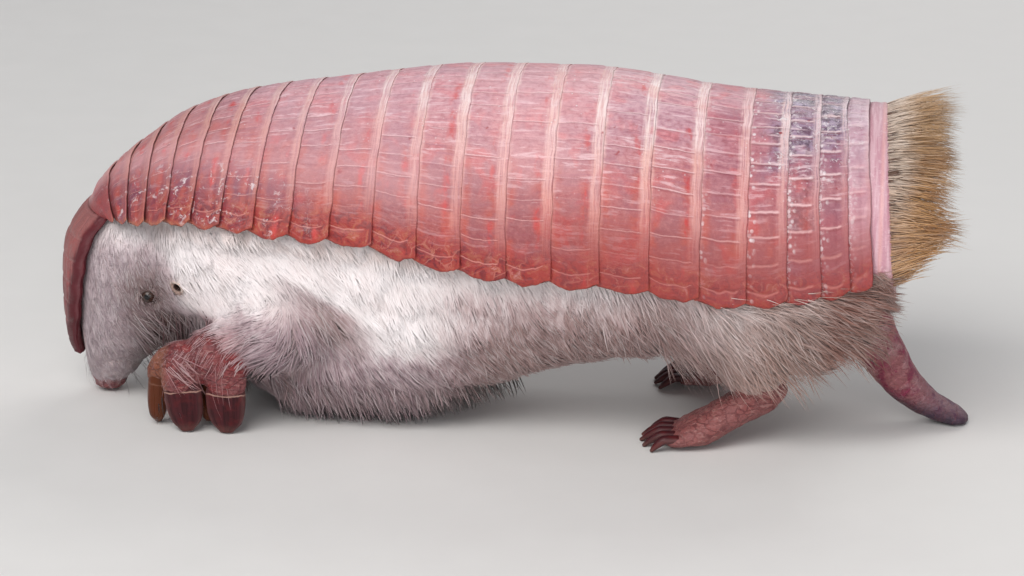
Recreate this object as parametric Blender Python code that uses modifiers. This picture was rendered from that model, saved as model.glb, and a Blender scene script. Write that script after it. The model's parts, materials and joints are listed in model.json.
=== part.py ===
"""A pink fairy armadillo, life size, as a still model: head pitched down, nose, fore claws, chest, hind toes and tail tip on the floor.

The animal faces -X, its left side is -Y and +Z is up. Every size below is in millimetres.
The carapace is one surface S(s, t): s counts the band edges from the front rim (0) to the rear rim (22) and t runs across the back from the left lower edge (-1) to the right one (+1).
The flesh under it is lofted from sections, and neighbouring solids are parted by thin cuts of GAP.
"""

import math

import bmesh
import bpy
import numpy as np
from mathutils import Vector

MM = 0.001
GAP = 0.3  # air between neighbouring solids

# --- carapace -----------------------------------------------------------------
BANDS = 22
ACROSS = 12  # facets of one band over the back
SHELL_THICK = 1.15
UNDER_SHELL = SHELL_THICK + 0.6  # from the outer face of the shell to the flesh
FRONT_RIM_X = -45.6  # front rim, half way up
LOBE = 0.85  # how far the rounded lower end of a band hangs below its edges
BAND_STEP = 0.22  # rise from the front of a band to its middle

# width of a band by its number, narrow at both ends
BAND_WIDTH = [(0, 2.15), (3, 3.1), (6, 4.0), (9, 4.9), (13, 5.3), (16, 5.75), (18, 4.5), (19, 3.65), (20, 3.25), (22, 2.3)]
# how far the lower end of a band edge lies behind its upper end
BAND_LEAN = [(0, 4.2), (1, 2.9), (2, 1.7), (4, 0.1), (6, -0.9), (9, -0.5), (12, 0.3), (18, 0.3), (20, 0.9), (23, 1.3)]
# height of the back along the midline
BACK = [(-48.0, 24.6), (-45.5, 27.9), (-43.0, 30.3), (-39.6, 32.9), (-36.1, 35.3), (-29.0, 38.0), (-16.3, 40.2), (2.0, 42.3), (12.0, 42.35), (31.0, 40.2), (40.0, 39.6), (49.0, 39.1)]
# height of the lower edge of the carapace
EDGE = [(-44.0, 25.0), (-31.0, 27.3), (-18.0, 25.3), (5.0, 22.6), (19.0, 21.9), (33.0, 20.3), (40.0, 20.6), (49.0, 22.3)]
# half the width of the carapace at its lower edge
HALF = [(-43.8, 9.2), (-40.0, 12.3), (-35.0, 14.9), (-28.0, 16.8), (-18.0, 18.3), (-6.0, 19.6), (8.0, 20.1), (22.0, 20.1), (33.0, 19.3), (41.0, 17.9), (49.0, 16.2)]

# --- head, hanging straight down: height, forehead x, nape x, half width ---------
HEAD = [
    (2.3, -48.4, -43.0, 3.1),
    (5.0, -49.0, -40.4, 5.0),
    (8.0, -49.3, -36.9, 7.1),
    (12.0, -49.5, -33.4, 9.3),
    (16.0, -49.4, -31.2, 10.7),
    (20.0, -49.0, -30.3, 11.0),
    (24.0, -46.9, -30.0, 10.2),
    (26.6, -43.6, -30.4, 8.4),
    (29.0, -41.0, -31.2, 6.0),
    (30.8, -38.6, -32.6, 3.0),
]
HEAD_WIDEST = 0.6  # of the way from forehead to nape
SHIELD_THICK = 1.0
SHIELD_TOP, SHIELD_LOW = 23.6, 4.6
EYE = (-38.6, -10.4, 15.2)
EYE_R = 0.95
EAR = (-34.6, -10.3, 16.9)
EAR_R = 1.25
NOSE_X, NOSE_HALF_X, NOSE_HALF_Y, NOSE_H = -45.9, 2.3, 2.6, 2.1

# --- trunk: x, height of the belly ---------------------------------------------
NECK_FRONT, NECK_BACK, TRUNK_REAR = -37.0, -24.3, 45.4
BELLY = [(-37.0, 12.0), (-31.0, 7.0), (-25.0, 1.4), (-21.0, -0.35), (-12.0, -0.35), (-6.0, 1.1), (0.0, 3.4), (8.0, 6.0), (17.0, 8.3), (24.0, 9.3), (29.0, 8.4), (34.0, 6.2), (39.0, 6.4), (43.0, 9.0), (45.4, 12.0)]

# --- rump ---------------------------------------------------------------------
RIM_X, RIM_Z, RIM_TILT = 47.55, 22.0, 0.072  # rear rim of the carapace: its x at the lower edge, and how much the plane leans forward with height
PLATE_THICK = 2.1
PLATE_Z, PLATE_HALF_Y, PLATE_UP, PLATE_DOWN = 24.2, 15.9, 14.7, 8.6
HAIR_LENGTH = 7.2
HAIR_END = 108  # degrees from the top where the fringe dies out on each side
HAIR_TEETH = 7  # locks in each third of the fringe

# --- limbs: rows of x, y, z, half width along the side axis, half thickness -----
FORELEG = [(-16.0, 10.4, 16.0, 4.6, 4.2), (-19.6, 13.2, 12.8, 4.5, 4.2), (-24.0, 13.9, 11.2, 3.9, 3.6), (-28.2, 13.9, 10.6, 3.2, 2.9)]
FOREFOOT = [(-26.6, 14.1, 11.4, 2.9, 2.4), (-28.8, 14.3, 9.8, 4.4, 2.6), (-30.6, 14.4, 7.6, 5.6, 2.4), (-31.4, 14.3, 5.4, 5.6, 1.7)]
# fore claws: x and y where the claw leaves the skin, height there, half width, tip x, tip y
FORE_CLAWS = [(-36.7, 12.4, 6.9, 1.35, -37.3, 11.6), (-33.6, 14.5, 6.6, 2.45, -33.1, 14.7), (-28.3, 14.5, 6.3, 2.55, -28.3, 14.7), (-30.6, 12.3, 7.0, 1.2, -30.9, 10.6)]
CLAW_THICK = 1.15
HINDLEG = [(35.0, 9.6, 18.0, 7.0, 5.2), (33.6, 11.8, 14.0, 6.6, 5.0), (33.9, 11.6, 10.4, 4.8, 4.0), (35.0, 10.3, 7.9, 3.2, 2.9)]
HINDFOOT = [(37.0, 9.9, 7.1, 1.7, 1.6), (35.2, 10.0, 6.2, 2.5, 2.4), (31.6, 10.4, 4.0, 3.1, 2.0), (27.9, 10.9, 1.9, 3.9, 1.9), (25.8, 11.2, 1.4, 3.6, 1.3)]
HIND_TOES = 5
HIND_CLAW = 4.6
TAIL = [(41.0, 0, 18.5, 3.0, 3.0), (45.6, 0, 14.4, 3.2, 3.2), (49.0, 0, 8.6, 2.9, 2.75), (52.0, 0, 4.5, 2.6, 2.25), (55.2, 0, 2.1, 2.6, 1.65), (57.8, 0, 1.0, 2.6, 1.2), (59.2, 0, 0.5, 1.7, 0.75)]

# --- colours -------------------------------------------------------------------
ROSE = (0.62, 0.20, 0.21)
CREAM = (0.72, 0.52, 0.44)
CRIMSON = (0.40, 0.05, 0.06)
FUR = (0.80, 0.75, 0.70)
STRAW = (0.52, 0.36, 0.18)
SKIN = (0.55, 0.22, 0.20)
HORN = (0.50, 0.30, 0.30)
DARK = (0.02, 0.015, 0.015)

for old in list(bpy.data.objects):
    bpy.data.objects.remove(old, do_unlink=True)
SOLIDS = bpy.data.collections.new("armadillo")
CUTTERS = bpy.data.collections.new("cutters")
for group in (SOLIDS, CUTTERS):
    bpy.context.scene.collection.children.link(group)


def smooth(table, at):
    """Value of a table of named sizes at one place, by a curve that never overshoots its rows."""
    rows = np.array(table, float)
    x, y = rows[:, 0], rows[:, 1:]
    step = np.diff(x)[:, None]
    slope = np.diff(y, axis=0) / step
    tangent = np.zeros_like(y)
    tangent[0], tangent[-1] = slope[0], slope[-1]
    for k in range(1, len(x) - 1):
        for c in range(y.shape[1]):
            a, b = slope[k - 1, c], slope[k, c]
            tangent[k, c] = 0.0 if a * b <= 0 else 3 * (step[k - 1, 0] + step[k, 0]) / ((2 * step[k, 0] + step[k - 1, 0]) / a + (step[k, 0] + 2 * step[k - 1, 0]) / b)
    at = min(max(at, x[0]), x[-1])
    k = min(int(np.searchsorted(x, at, side="right")) - 1, len(x) - 2)
    h = step[k, 0]
    u = (at - x[k]) / h
    value = (2 * u**3 - 3 * u**2 + 1) * y[k] + (u**3 - 2 * u**2 + u) * h * tangent[k] + (3 * u**2 - 2 * u**3) * y[k + 1] + (u**3 - u**2) * h * tangent[k + 1]
    return value if y.shape[1] > 1 else float(value[0])


def material(name, colour, rough):
    made = bpy.data.materials.new(name)
    made.use_nodes = True
    shader = made.node_tree.nodes["Principled BSDF"]
    shader.inputs["Base Color"].default_value = (*colour, 1)
    shader.inputs["Roughness"].default_value = rough
    shader.inputs["Metallic"].default_value = 0
    return made


def solid(name, points, faces, colour, rough=0.6, cutter=False):
    """One closed mesh, its faces turned out."""
    mesh = bpy.data.meshes.new(name)
    mesh.from_pydata([tuple(c * MM for c in p) for p in points], [], faces)
    work = bmesh.new()
    work.from_mesh(mesh)
    bmesh.ops.remove_doubles(work, verts=work.verts, dist=1e-7)
    bmesh.ops.recalc_face_normals(work, faces=work.faces)
    work.to_mesh(mesh)
    work.free()
    made = bpy.data.objects.new(name, mesh)
    if cutter:
        made.hide_render = True
        made.display_type = "WIRE"
        CUTTERS.objects.link(made)
    else:
        mesh.materials.append(material(name, colour, rough))
        SOLIDS.objects.link(made)
    return made


def cut(target, *cutters):
    for cutter in cutters:
        made = target.modifiers.new("cut_" + cutter.name, "BOOLEAN")
        made.operation = "DIFFERENCE"
        made.solver = "EXACT"
        made.object = cutter


def lofted(rings, first=None, last=None):
    """Points and faces over a run of rings of one count, closed by a fan at each end."""
    count = len(rings[0])
    points = [tuple(p) for ring in rings for p in ring]
    faces = []
    for i in range(len(rings) - 1):
        for j in range(count):
            k = (j + 1) % count
            faces.append((i * count + j, i * count + k, (i + 1) * count + k, (i + 1) * count + j))
    for ring, base, tip in ((rings[0], 0, first), (rings[-1], (len(rings) - 1) * count, last)):
        centre = tip if tip is not None else np.mean(np.array(ring), axis=0)
        points.append(tuple(centre))
        for j in range(count):
            faces.append((base + j, base + (j + 1) % count, len(points) - 1))
    return points, faces


def tube(rows, rings, around, side=(1, 0, 0), grow=0.0, mirror=1, blunt=0.5, square=2.0):
    """A limb along the rows, each ring square to the path, its half width along the side axis. blunt rounds the ends."""
    rows = np.array(rows, float)
    rows[:, 1] *= mirror
    run = np.concatenate([[0], np.cumsum(np.linalg.norm(np.diff(rows[:, :3], axis=0), axis=1))])
    table = [(run[k], *rows[k]) for k in range(len(rows))]
    stops = [smooth(table, run[-1] * k / (rings - 1)) for k in range(rings)]
    ring_list = []
    for k, row in enumerate(stops):
        ahead = stops[min(k + 1, rings - 1)][:3] - stops[max(k - 1, 0)][:3]
        ahead = ahead / np.linalg.norm(ahead)
        across = np.array(side, float)
        across[1] *= mirror
        across -= ahead * across.dot(ahead)
        across /= np.linalg.norm(across)
        out = np.cross(ahead, across)
        centre = row[:3].copy()
        if k == 0:
            centre -= ahead * grow
        if k == rings - 1:
            centre += ahead * grow
        ring = []
        for j in range(around):
            a = 2 * math.pi * j / around
            c, s = math.cos(a), math.sin(a)
            ring.append(centre + across * (row[3] + grow) * math.copysign(abs(c) ** (2 / square), c) + out * (row[4] + grow) * math.copysign(abs(s) ** (2 / square), s))
        ring_list.append(ring)
    start = stops[1][:3] - stops[0][:3]
    end = stops[-1][:3] - stops[-2][:3]
    first = stops[0][:3] - start / np.linalg.norm(start) * (stops[0][4] * blunt + grow)
    last = stops[-1][:3] + end / np.linalg.norm(end) * (stops[-1][4] * blunt + grow)
    return lofted(ring_list, first, last)


# --- the carapace surface ---------------------------------------------------------
WIDTHS = [smooth(BAND_WIDTH, k) for k in range(BANDS)]
EDGES_X = [FRONT_RIM_X + sum(WIDTHS[:k]) for k in range(BANDS + 1)]


def shell_point(s, t, lift=0.0):
    """The point of the carapace at band edge s and place t across, raised by lift along the arc's radius."""
    k = min(max(int(s), 0), BANDS - 1)
    middle = EDGES_X[k] + (s - k) * WIDTHS[k]
    lean = smooth(BAND_LEAN, s)
    top_x, low_x = middle - lean / 2, middle + lean / 2
    top = np.array([top_x, 0, smooth(BACK, top_x)])
    low = np.array([low_x, 0, smooth(EDGE, low_x)])
    half = smooth(HALF, low_x)
    rise = np.linalg.norm(top - low)
    up = (top - low) / rise
    sweep = 2 * math.atan2(rise, half)
    radius = half / math.sin(sweep)
    centre = top - up * radius
    a = sweep * t
    radius += lift
    return centre + up * radius * math.cos(a) + np.array([0, 1, 0]) * radius * math.sin(a)


def shell_normal(s, t):
    """Outward direction of the carapace."""
    ds, dt = 0.04, 0.01
    along = shell_point(min(s + ds, BANDS), t) - shell_point(max(s - ds, 0), t)
    over = shell_point(s, t + dt) - shell_point(s, t - dt)
    n = np.cross(along, over)
    n /= np.linalg.norm(n)
    centre = np.array([shell_point(s, 0)[0], 0, 20.0])
    return n if n.dot(shell_point(s, t) - centre) > 0 else -n


def band(number):
    """One movable band: an arch of plates, its lower ends rounded lobes, its front tucked below the band ahead."""
    places = [-1 + 2 * j / ACROSS for j in range(ACROSS + 1)]
    grid = []
    for share, lift in ((0, -BAND_STEP), (0.5, 0.12), (1, 0.0)):
        row = []
        for t in places:
            a, b = shell_point(number, t), shell_point(number + 1, t)
            width = np.linalg.norm(b - a)
            s = number + (GAP / 2 + share * (width - GAP)) / width
            end = 1.0
            if abs(t) == 1:
                arc = np.linalg.norm(shell_point(s, 1) - shell_point(s, 0.9)) / 0.1
                end += (LOBE if share == 0.5 else 0.0) / arc
            row.append(shell_point(s, t * end) + shell_normal(s, t) * lift)
        grid.append(row)
    n = len(places)
    points = [tuple(p) for row in grid for p in row]
    faces = [(i * n + j, i * n + j + 1, (i + 1) * n + j + 1, (i + 1) * n + j) for i in range(2) for j in range(n - 1)]
    made = solid(f"band_{number + 1:02d}", points, faces, ROSE if number % 2 else CREAM, 0.45)
    # faces of the open strip must look out, so that the thickness goes in
    mesh = made.data
    flat = mesh.polygons[len(mesh.polygons) // 2]
    if flat.normal.z < 0 if number > 2 else flat.normal.dot(Vector((-0.6, 0, 1))) < 0:
        mesh.flip_normals()
    thick = made.modifiers.new("thick", "SOLIDIFY")
    thick.thickness = SHELL_THICK * MM
    thick.offset = -1
    return made


for number in range(BANDS):
    band(number)


# --- the body under the carapace -----------------------------------------------------
def edge_share(x):
    """The carapace's s at the midline above x."""
    k = int(np.searchsorted(EDGES_X, x)) - 1
    k = min(max(k, 0), BANDS - 1)
    return k + (x - EDGES_X[k]) / WIDTHS[k]


def body_ring(x, grow=0.0, upper=5, lower=5):
    """Half ring from the midline of the back down the left flank to the belly, then mirrored."""
    top, low, half = smooth(BACK, x), smooth(EDGE, x), smooth(HALF, x)
    rise = top - low
    sweep = 2 * math.atan2(rise, half)
    radius = half / math.sin(sweep)
    inner = radius - UNDER_SHELL
    belly = smooth(BELLY, x)
    side = []
    for k in range(upper + 1):
        a = sweep * k / upper
        side.append((inner * math.sin(a), top - radius + inner * math.cos(a)))
    y0, z0 = side[-1]
    for k in range(1, lower + 1):
        v = k / lower * math.pi / 2
        side.append((y0 * max(math.cos(v), 0) ** 0.62, z0 - (z0 - belly) * math.sin(v) ** 1.05))
    ring = []
    middle = (side[0][1] + side[-1][1]) / 2
    for y, z in side:
        away = math.hypot(y, z - middle)
        ring.append((x, -(y + grow * y / away), z + grow * (z - middle) / away))
    return ring + [(x, -p[1], p[2]) for p in reversed(ring[1:-1])]


def body(name, x0, x1, steps, colour, grow=0.0, cutter=False):
    rings = [body_ring(x0 - grow + (x1 - x0 + 2 * grow) * k / steps, grow) for k in range(steps + 1)]
    return solid(name, *lofted(rings), colour, 0.9, cutter)


def head_ring(z, grow=0.0, around=16):
    front, back, half = smooth(HEAD, z)
    length = back - front
    fore, aft = length * HEAD_WIDEST + grow, length * (1 - HEAD_WIDEST) + grow
    middle = front + length * HEAD_WIDEST
    ring = []
    for j in range(around):
        a = 2 * math.pi * j / around
        c, s = math.cos(a), math.sin(a)
        c2, s2 = math.copysign(abs(c) ** 0.88, c), math.copysign(abs(s) ** 0.88, s)
        ring.append((middle - (fore if c > 0 else aft) * c2, (half + grow) * s2, z))
    return ring


def head(name, grow=0.0, cutter=False):
    low, high = HEAD[0][0], HEAD[-1][0]
    stops = [low + (high - low) * k / 10 for k in range(11)]
    rings = [head_ring(z, grow) for z in stops]
    if grow:
        rings[0] = [(x, y, z - grow) for x, y, z in rings[0]]
        rings[-1] = [(x, y, z + grow) for x, y, z in rings[-1]]
    return solid(name, *lofted(rings), FUR, 0.9, cutter)


def box(name, low, high):
    points = [(x, y, z) for x in (low[0], high[0]) for y in (low[1], high[1]) for z in (low[2], high[2])]
    return solid(name, points, [(0, 1, 3, 2), (4, 5, 7, 6), (0, 1, 5, 4), (2, 3, 7, 6), (0, 2, 6, 4), (1, 3, 7, 5)], DARK, cutter=True)


def ball(name, centre, radii, colour, rough=0.2, cutter=False, rings=5, around=9):
    """A ball of flattened rings, poles along Y."""
    ring_list = []
    for k in range(1, rings):
        a = math.pi * k / rings
        ring_list.append([(centre[0] + radii[0] * math.sin(a) * math.cos(2 * math.pi * j / around), centre[1] - radii[1] * math.cos(a), centre[2] + radii[2] * math.sin(a) * math.sin(2 * math.pi * j / around)) for j in range(around)])
    return solid(name, *lofted(ring_list, (centre[0], centre[1] - radii[1], centre[2]), (centre[0], centre[1] + radii[1], centre[2])), colour, rough, cutter)


floor = box("floor_cut", (-70, -40, -20), (80, 40, 0))
head_cut = head("head_cut", GAP, True)
trunk_cut = body("trunk_cut", -24.0, TRUNK_REAR, 15, FUR, GAP, True)

trunk = body("trunk", -24.0, TRUNK_REAR, 15, FUR)
cut(trunk, floor)
neck = body("neck", NECK_FRONT, NECK_BACK, 4, FUR)
cut(neck, head_cut)
skull = head("head")

# head shield: a curved plate a little off the forehead, narrowing towards the nose
rows, cols = 5, 6
shield_outer, shield_inner = [], []
for k in range(rows + 1):
    z = SHIELD_LOW + (SHIELD_TOP - SHIELD_LOW) * k / rows
    spread = math.radians(30 + 22 * (k / rows) ** 0.8) * (0.55 if k == 0 else 1)
    for store, off in ((shield_outer, GAP + SHIELD_THICK), (shield_inner, GAP + 0.08)):
        front, back, half = smooth(HEAD, z)
        length = back - front
        line = []
        for j in range(cols + 1):
            a = -spread + 2 * spread * j / cols
            c, s = math.cos(a), math.sin(a)
            line.append((front + length * HEAD_WIDEST - (length * HEAD_WIDEST + off) * c**0.88, (half + off) * math.copysign(abs(s) ** 0.88, s), z))
        store.append(line)
rings = [shield_inner[k] + list(reversed(shield_outer[k])) for k in range(rows + 1)]
count = len(rings[0])
points = [p for ring in rings for p in ring]
faces = [(i * count + j, i * count + (j + 1) % count, (i + 1) * count + (j + 1) % count, (i + 1) * count + j) for i in range(rows) for j in range(count)]
for base in (0, rows * count):
    faces += [(base + j, base + j + 1, base + count - 2 - j, base + count - 1 - j) for j in range(cols)]
head_shield = solid("head_shield", points, faces, CRIMSON, 0.4)

# nose pad, flat on the floor
nose_rings = []
for z, share in ((0.0, 0.62), (0.5, 0.9), (1.2, 1.0), (NOSE_H - 0.12, 0.8)):
    nose_rings.append([(NOSE_X + NOSE_HALF_X * share * math.cos(2 * math.pi * j / 12), NOSE_HALF_Y * share * math.sin(2 * math.pi * j / 12), z) for j in range(12)])
solid("nose", *lofted(nose_rings), SKIN, 0.4)

for side, word in ((1, "left"), (-1, "right")):
    ball(f"eye_{word}", (EYE[0], EYE[1] * side, EYE[2]), (EYE_R,) * 3, DARK, 0.1)
    socket = ball(f"eye_cut_{word}", (EYE[0], EYE[1] * side, EYE[2]), (EYE_R + GAP,) * 3, DARK, cutter=True)
    ball(f"ear_{word}", (EAR[0], EAR[1] * side, EAR[2]), (EAR_R, 0.9, EAR_R * 1.15), SKIN, 0.7, rings=5)
    burrow = ball(f"ear_cut_{word}", (EAR[0], EAR[1] * side, EAR[2]), (EAR_R + GAP, 0.9 + GAP, EAR_R * 1.15 + GAP), DARK, cutter=True, rings=5)
    cut(skull, socket, burrow)
    cut(neck, burrow)


# --- limbs -------------------------------------------------------------------------
def claw_rows(x, y, z, tip_x, tip_y):
    """From inside the finger to the floor, the tip a little below it so that the floor cut leaves a small flat."""
    return [(x, y, z), (x + 0.62 * (tip_x - x), y + 0.35 * (tip_y - y) + 0.15, z * 0.52), (tip_x, tip_y, -0.25)]


for mirror, word in ((-1, "left"), (1, "right")):
    leg_cut = solid(f"foreleg_cut_{word}", *tube(FORELEG, 6, 12, (0, 0, 1), GAP, mirror), DARK, cutter=True)
    leg = solid(f"foreleg_{word}", *tube(FORELEG, 6, 12, (0, 0, 1), 0, mirror), FUR, 0.9)
    neck_cut = body(f"neck_cut_{word}", NECK_FRONT, NECK_BACK, 4, FUR, GAP, True)
    cut(leg, trunk_cut, neck_cut)
    foot = solid(f"forefoot_{word}", *tube(FOREFOOT, 6, 12, (1, 0, 0.25), 0, mirror, 0.5, 2.6), SKIN, 0.55)
    cut(foot, leg_cut, head_cut, neck_cut)
    foot_cut = solid(f"forefoot_cut_{word}", *tube(FOREFOOT, 6, 12, (1, 0, 0.25), GAP, mirror, 0.5, 2.6), DARK, cutter=True)
    for number, (x, y, z, wide, tip_x, tip_y) in enumerate(FORE_CLAWS):
        path = claw_rows(x, y, z, tip_x, tip_y)
        sizes = ((wide * 0.8, CLAW_THICK), (wide * 0.98, CLAW_THICK * 0.95), (wide * 0.62, CLAW_THICK * 0.45))
        claw = solid(f"claw_fore_{word}_{number + 1}", *tube([p + w for p, w in zip(path, sizes)], 5, 8, (1, 0, 0), 0, mirror, 0.1, 2.3), HORN, 0.3)
        cut(claw, foot_cut, floor)

    hind_cut = solid(f"hindleg_cut_{word}", *tube(HINDLEG, 5, 12, (1, 0, 0), GAP, mirror), DARK, cutter=True)
    hind = solid(f"hindleg_{word}", *tube(HINDLEG, 5, 12, (1, 0, 0), 0, mirror), FUR, 0.9)
    cut(hind, trunk_cut)
    sole = solid(f"hindfoot_{word}", *tube(HINDFOOT, 6, 10, (0, 1, 0), 0, mirror, 0.6), SKIN, 0.6)
    for number in range(HIND_TOES):
        share = number / (HIND_TOES - 1) * 2 - 1
        length = HIND_CLAW * (1 - 0.25 * share**2 - 0.08 * share)
        y = 11.2 + share * 2.9
        rows = [(27.1, y, 1.5, 0.85, 0.75), (25.5 - length * 0.3, y + share * 0.35, 1.3, 0.8, 0.65), (25.5 - length, y + share * 0.8, 0.15, 0.35, 0.3)]
        toe = solid(f"hind_claw_{word}_{number + 1}", *tube(rows, 3, 5, (0, 1, 0), 0, mirror, 0.3), HORN, cutter=True)
        join = sole.modifiers.new(f"claw_{number + 1}", "BOOLEAN")
        join.operation, join.solver, join.object = "UNION", "EXACT", toe
    cut(sole, hind_cut, trunk_cut, floor)

# --- tail, rump plate and its fringe -----------------------------------------------
tail_cut = solid("tail_cut", *tube(TAIL, 12, 12, (0, 1, 0), GAP, 1), DARK, cutter=True)
tail = solid("tail", *tube(TAIL, 12, 12, (0, 1, 0), 0, 1), SKIN, 0.6)
cut(tail, trunk_cut, floor)


def rim_x(z):
    return RIM_X + GAP - RIM_TILT * (z - RIM_Z)


def plate_outline(share, lift=0.0):
    """Rim of the rump plate, a little wider than high, share 0 at the top and 1 back at the top."""
    a = 2 * math.pi * share
    y, z = math.sin(a), math.cos(a)
    return (PLATE_HALF_Y + lift) * y, PLATE_Z + ((PLATE_UP if z > 0 else PLATE_DOWN) + lift) * z


AROUND = 22
plate_rings = []
for x, lift in ((0.0, -1.2), (0.0, -0.1), (PLATE_THICK * 0.7, -0.1), (PLATE_THICK, -0.7), (PLATE_THICK + 0.5, -6.5)):
    ring = [plate_outline(j / AROUND, lift) for j in range(AROUND)]
    plate_rings.append([(rim_x(z) + x, y, z) for y, z in ring])
plate = solid("rump_plate", *lofted(plate_rings, (rim_x(PLATE_Z + 2), 0, PLATE_Z + 2), (rim_x(PLATE_Z + 2) + PLATE_THICK + 0.7, 0, PLATE_Z + 2)), ROSE, 0.45)
cut(plate, tail_cut)

for word, start, stop in (("left", -HAIR_END, -36), ("top", -36, 36), ("right", 36, HAIR_END)):
    steps = HAIR_TEETH * 2
    rings = []
    for k in range(steps + 1):
        share = k / steps
        degrees = start + (stop - start) * share + (0.6 if k == 0 else -0.6 if k == steps else 0)
        a = math.radians(degrees)
        y, z = math.sin(a), math.cos(a)
        fade = min(1.0, max(0.0, (HAIR_END - abs(degrees)) / 42))
        length = HAIR_LENGTH * (1.0 if k % 2 else 0.87) * (0.22 + 0.78 * fade**0.7)
        base = rim_x(PLATE_Z + (PLATE_UP if z > 0 else PLATE_DOWN) * z) + PLATE_THICK + GAP + 0.05
        section = []
        for along, inner, outer in ((0, -2.3, -0.6), (0.5, -0.9, 0.75), (1, 0.75, 1.25)):
            section.append((base + along * length, inner, outer))
        line = [(x, low) for x, low, high in section] + [(x, high) for x, low, high in reversed(section)]
        rings.append([(x, (PLATE_HALF_Y + off) * y, PLATE_Z + ((PLATE_UP if z > 0 else PLATE_DOWN) + off) * z) for x, off in line])
    solid(f"rump_hair_{word}", *lofted(rings), STRAW, 0.9)

# --- the box of the whole model stands on the origin, centred in X and Y ---------------
bpy.context.view_layer.update()
graph = bpy.context.evaluated_depsgraph_get()
low, high = Vector((9, 9, 9)), Vector((-9, -9, -9))
for made in SOLIDS.objects:
    shape = made.evaluated_get(graph)
    for corner in shape.to_mesh().vertices:
        for axis in range(3):
            low[axis] = min(low[axis], corner.co[axis])
            high[axis] = max(high[axis], corner.co[axis])
    shape.to_mesh_clear()
shift = Vector((-(low.x + high.x) / 2, -(low.y + high.y) / 2, -low.z))
for made in list(SOLIDS.objects) + list(CUTTERS.objects):
    for corner in made.data.vertices:
        corner.co += shift
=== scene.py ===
"""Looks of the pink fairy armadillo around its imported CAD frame.

Design coordinates are those of the CAD tables, in millimetres: the animal faces -X, its left side is -Y, +Z is up. shift_x moves them into the frame.
"""

import json
import math

import bmesh
import bpy
import numpy as np
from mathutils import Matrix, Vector, kdtree

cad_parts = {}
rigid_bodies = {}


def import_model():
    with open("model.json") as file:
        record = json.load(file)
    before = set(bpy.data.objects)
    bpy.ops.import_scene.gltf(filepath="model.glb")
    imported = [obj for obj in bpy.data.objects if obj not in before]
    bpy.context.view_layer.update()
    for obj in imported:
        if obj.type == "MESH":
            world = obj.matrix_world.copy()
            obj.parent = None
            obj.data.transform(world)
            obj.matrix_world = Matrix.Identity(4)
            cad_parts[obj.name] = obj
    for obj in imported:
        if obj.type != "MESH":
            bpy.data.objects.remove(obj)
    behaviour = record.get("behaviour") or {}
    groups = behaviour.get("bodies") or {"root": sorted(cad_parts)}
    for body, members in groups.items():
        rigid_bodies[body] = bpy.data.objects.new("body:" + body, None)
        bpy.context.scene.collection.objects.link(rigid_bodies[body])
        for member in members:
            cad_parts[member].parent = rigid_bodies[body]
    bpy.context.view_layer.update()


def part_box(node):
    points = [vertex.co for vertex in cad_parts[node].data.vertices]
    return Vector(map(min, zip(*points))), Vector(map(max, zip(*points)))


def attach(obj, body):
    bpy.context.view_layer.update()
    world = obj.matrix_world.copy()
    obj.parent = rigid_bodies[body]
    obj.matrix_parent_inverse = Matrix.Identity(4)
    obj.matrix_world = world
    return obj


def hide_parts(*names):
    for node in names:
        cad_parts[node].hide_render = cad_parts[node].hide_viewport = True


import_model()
MM = 0.001
RNG = np.random.default_rng(20)
_low, _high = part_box("trunk")
SHIFT_X = (_low.x + _high.x) * 500 - (-24.0 + 45.4) / 2  # the trunk's solid runs from -24 to 45.4 in design coordinates

# --- the CAD tables, repeated ----------------------------------------------------
BANDS = 22
BAND_WIDTH = [(0, 2.15), (3, 3.1), (6, 4.0), (9, 4.9), (13, 5.3), (16, 5.75), (18, 4.5), (19, 3.65), (20, 3.25), (22, 2.3)]
BAND_LEAN = [(0, 4.2), (1, 2.9), (2, 1.7), (4, 0.1), (6, -0.9), (9, -0.5), (12, 0.3), (18, 0.3), (20, 0.9), (23, 1.3)]
BACK = [(-48.0, 24.6), (-45.5, 27.9), (-43.0, 30.3), (-39.6, 32.9), (-36.1, 35.3), (-29.0, 38.0), (-16.3, 40.2), (2.0, 42.3), (12.0, 42.35), (31.0, 40.2), (40.0, 39.6), (49.0, 39.1)]
EDGE = [(-44.0, 24.5), (-31.0, 26.6), (-18.0, 26.1), (-12.0, 26.0), (-7.0, 24.9), (-3.0, 23.9), (5.0, 22.6), (19.0, 21.9), (33.0, 20.3), (40.0, 20.6), (49.0, 22.3)]
HALF = [(-43.8, 9.2), (-40.0, 12.3), (-35.0, 14.9), (-28.0, 16.8), (-18.0, 18.3), (-6.0, 19.6), (8.0, 20.1), (22.0, 20.1), (33.0, 19.3), (41.0, 17.9), (49.0, 16.2)]
HEAD = [(2.3, -48.4, -43.0, 3.1), (5.0, -49.0, -40.4, 5.0), (8.0, -49.3, -36.9, 7.1), (12.0, -49.5, -33.4, 9.3), (16.0, -49.4, -31.2, 10.7), (20.0, -49.0, -30.3, 11.0), (24.0, -46.9, -30.0, 10.2), (26.6, -43.6, -30.4, 8.4), (29.0, -41.0, -31.2, 6.0), (30.8, -38.6, -32.6, 3.0)]
HEAD_WIDEST = 0.6
SHIELD_THICK = 1.0
SHIELD_TOP, SHIELD_LOW = 23.6, 4.6
EYE, EYE_R = (-38.6, -10.4, 15.2), 0.95
EAR, EAR_R = (-34.6, -10.3, 16.9), 1.25
BELLY = [(-37.0, 12.0), (-31.0, 7.0), (-25.0, 1.4), (-21.0, -0.35), (-12.0, -0.35), (-6.0, 1.1), (0.0, 3.4), (8.0, 6.0), (17.0, 8.3), (24.0, 9.3), (29.0, 8.4), (34.0, 6.2), (39.0, 6.4), (43.0, 9.0), (45.4, 12.0)]
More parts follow.
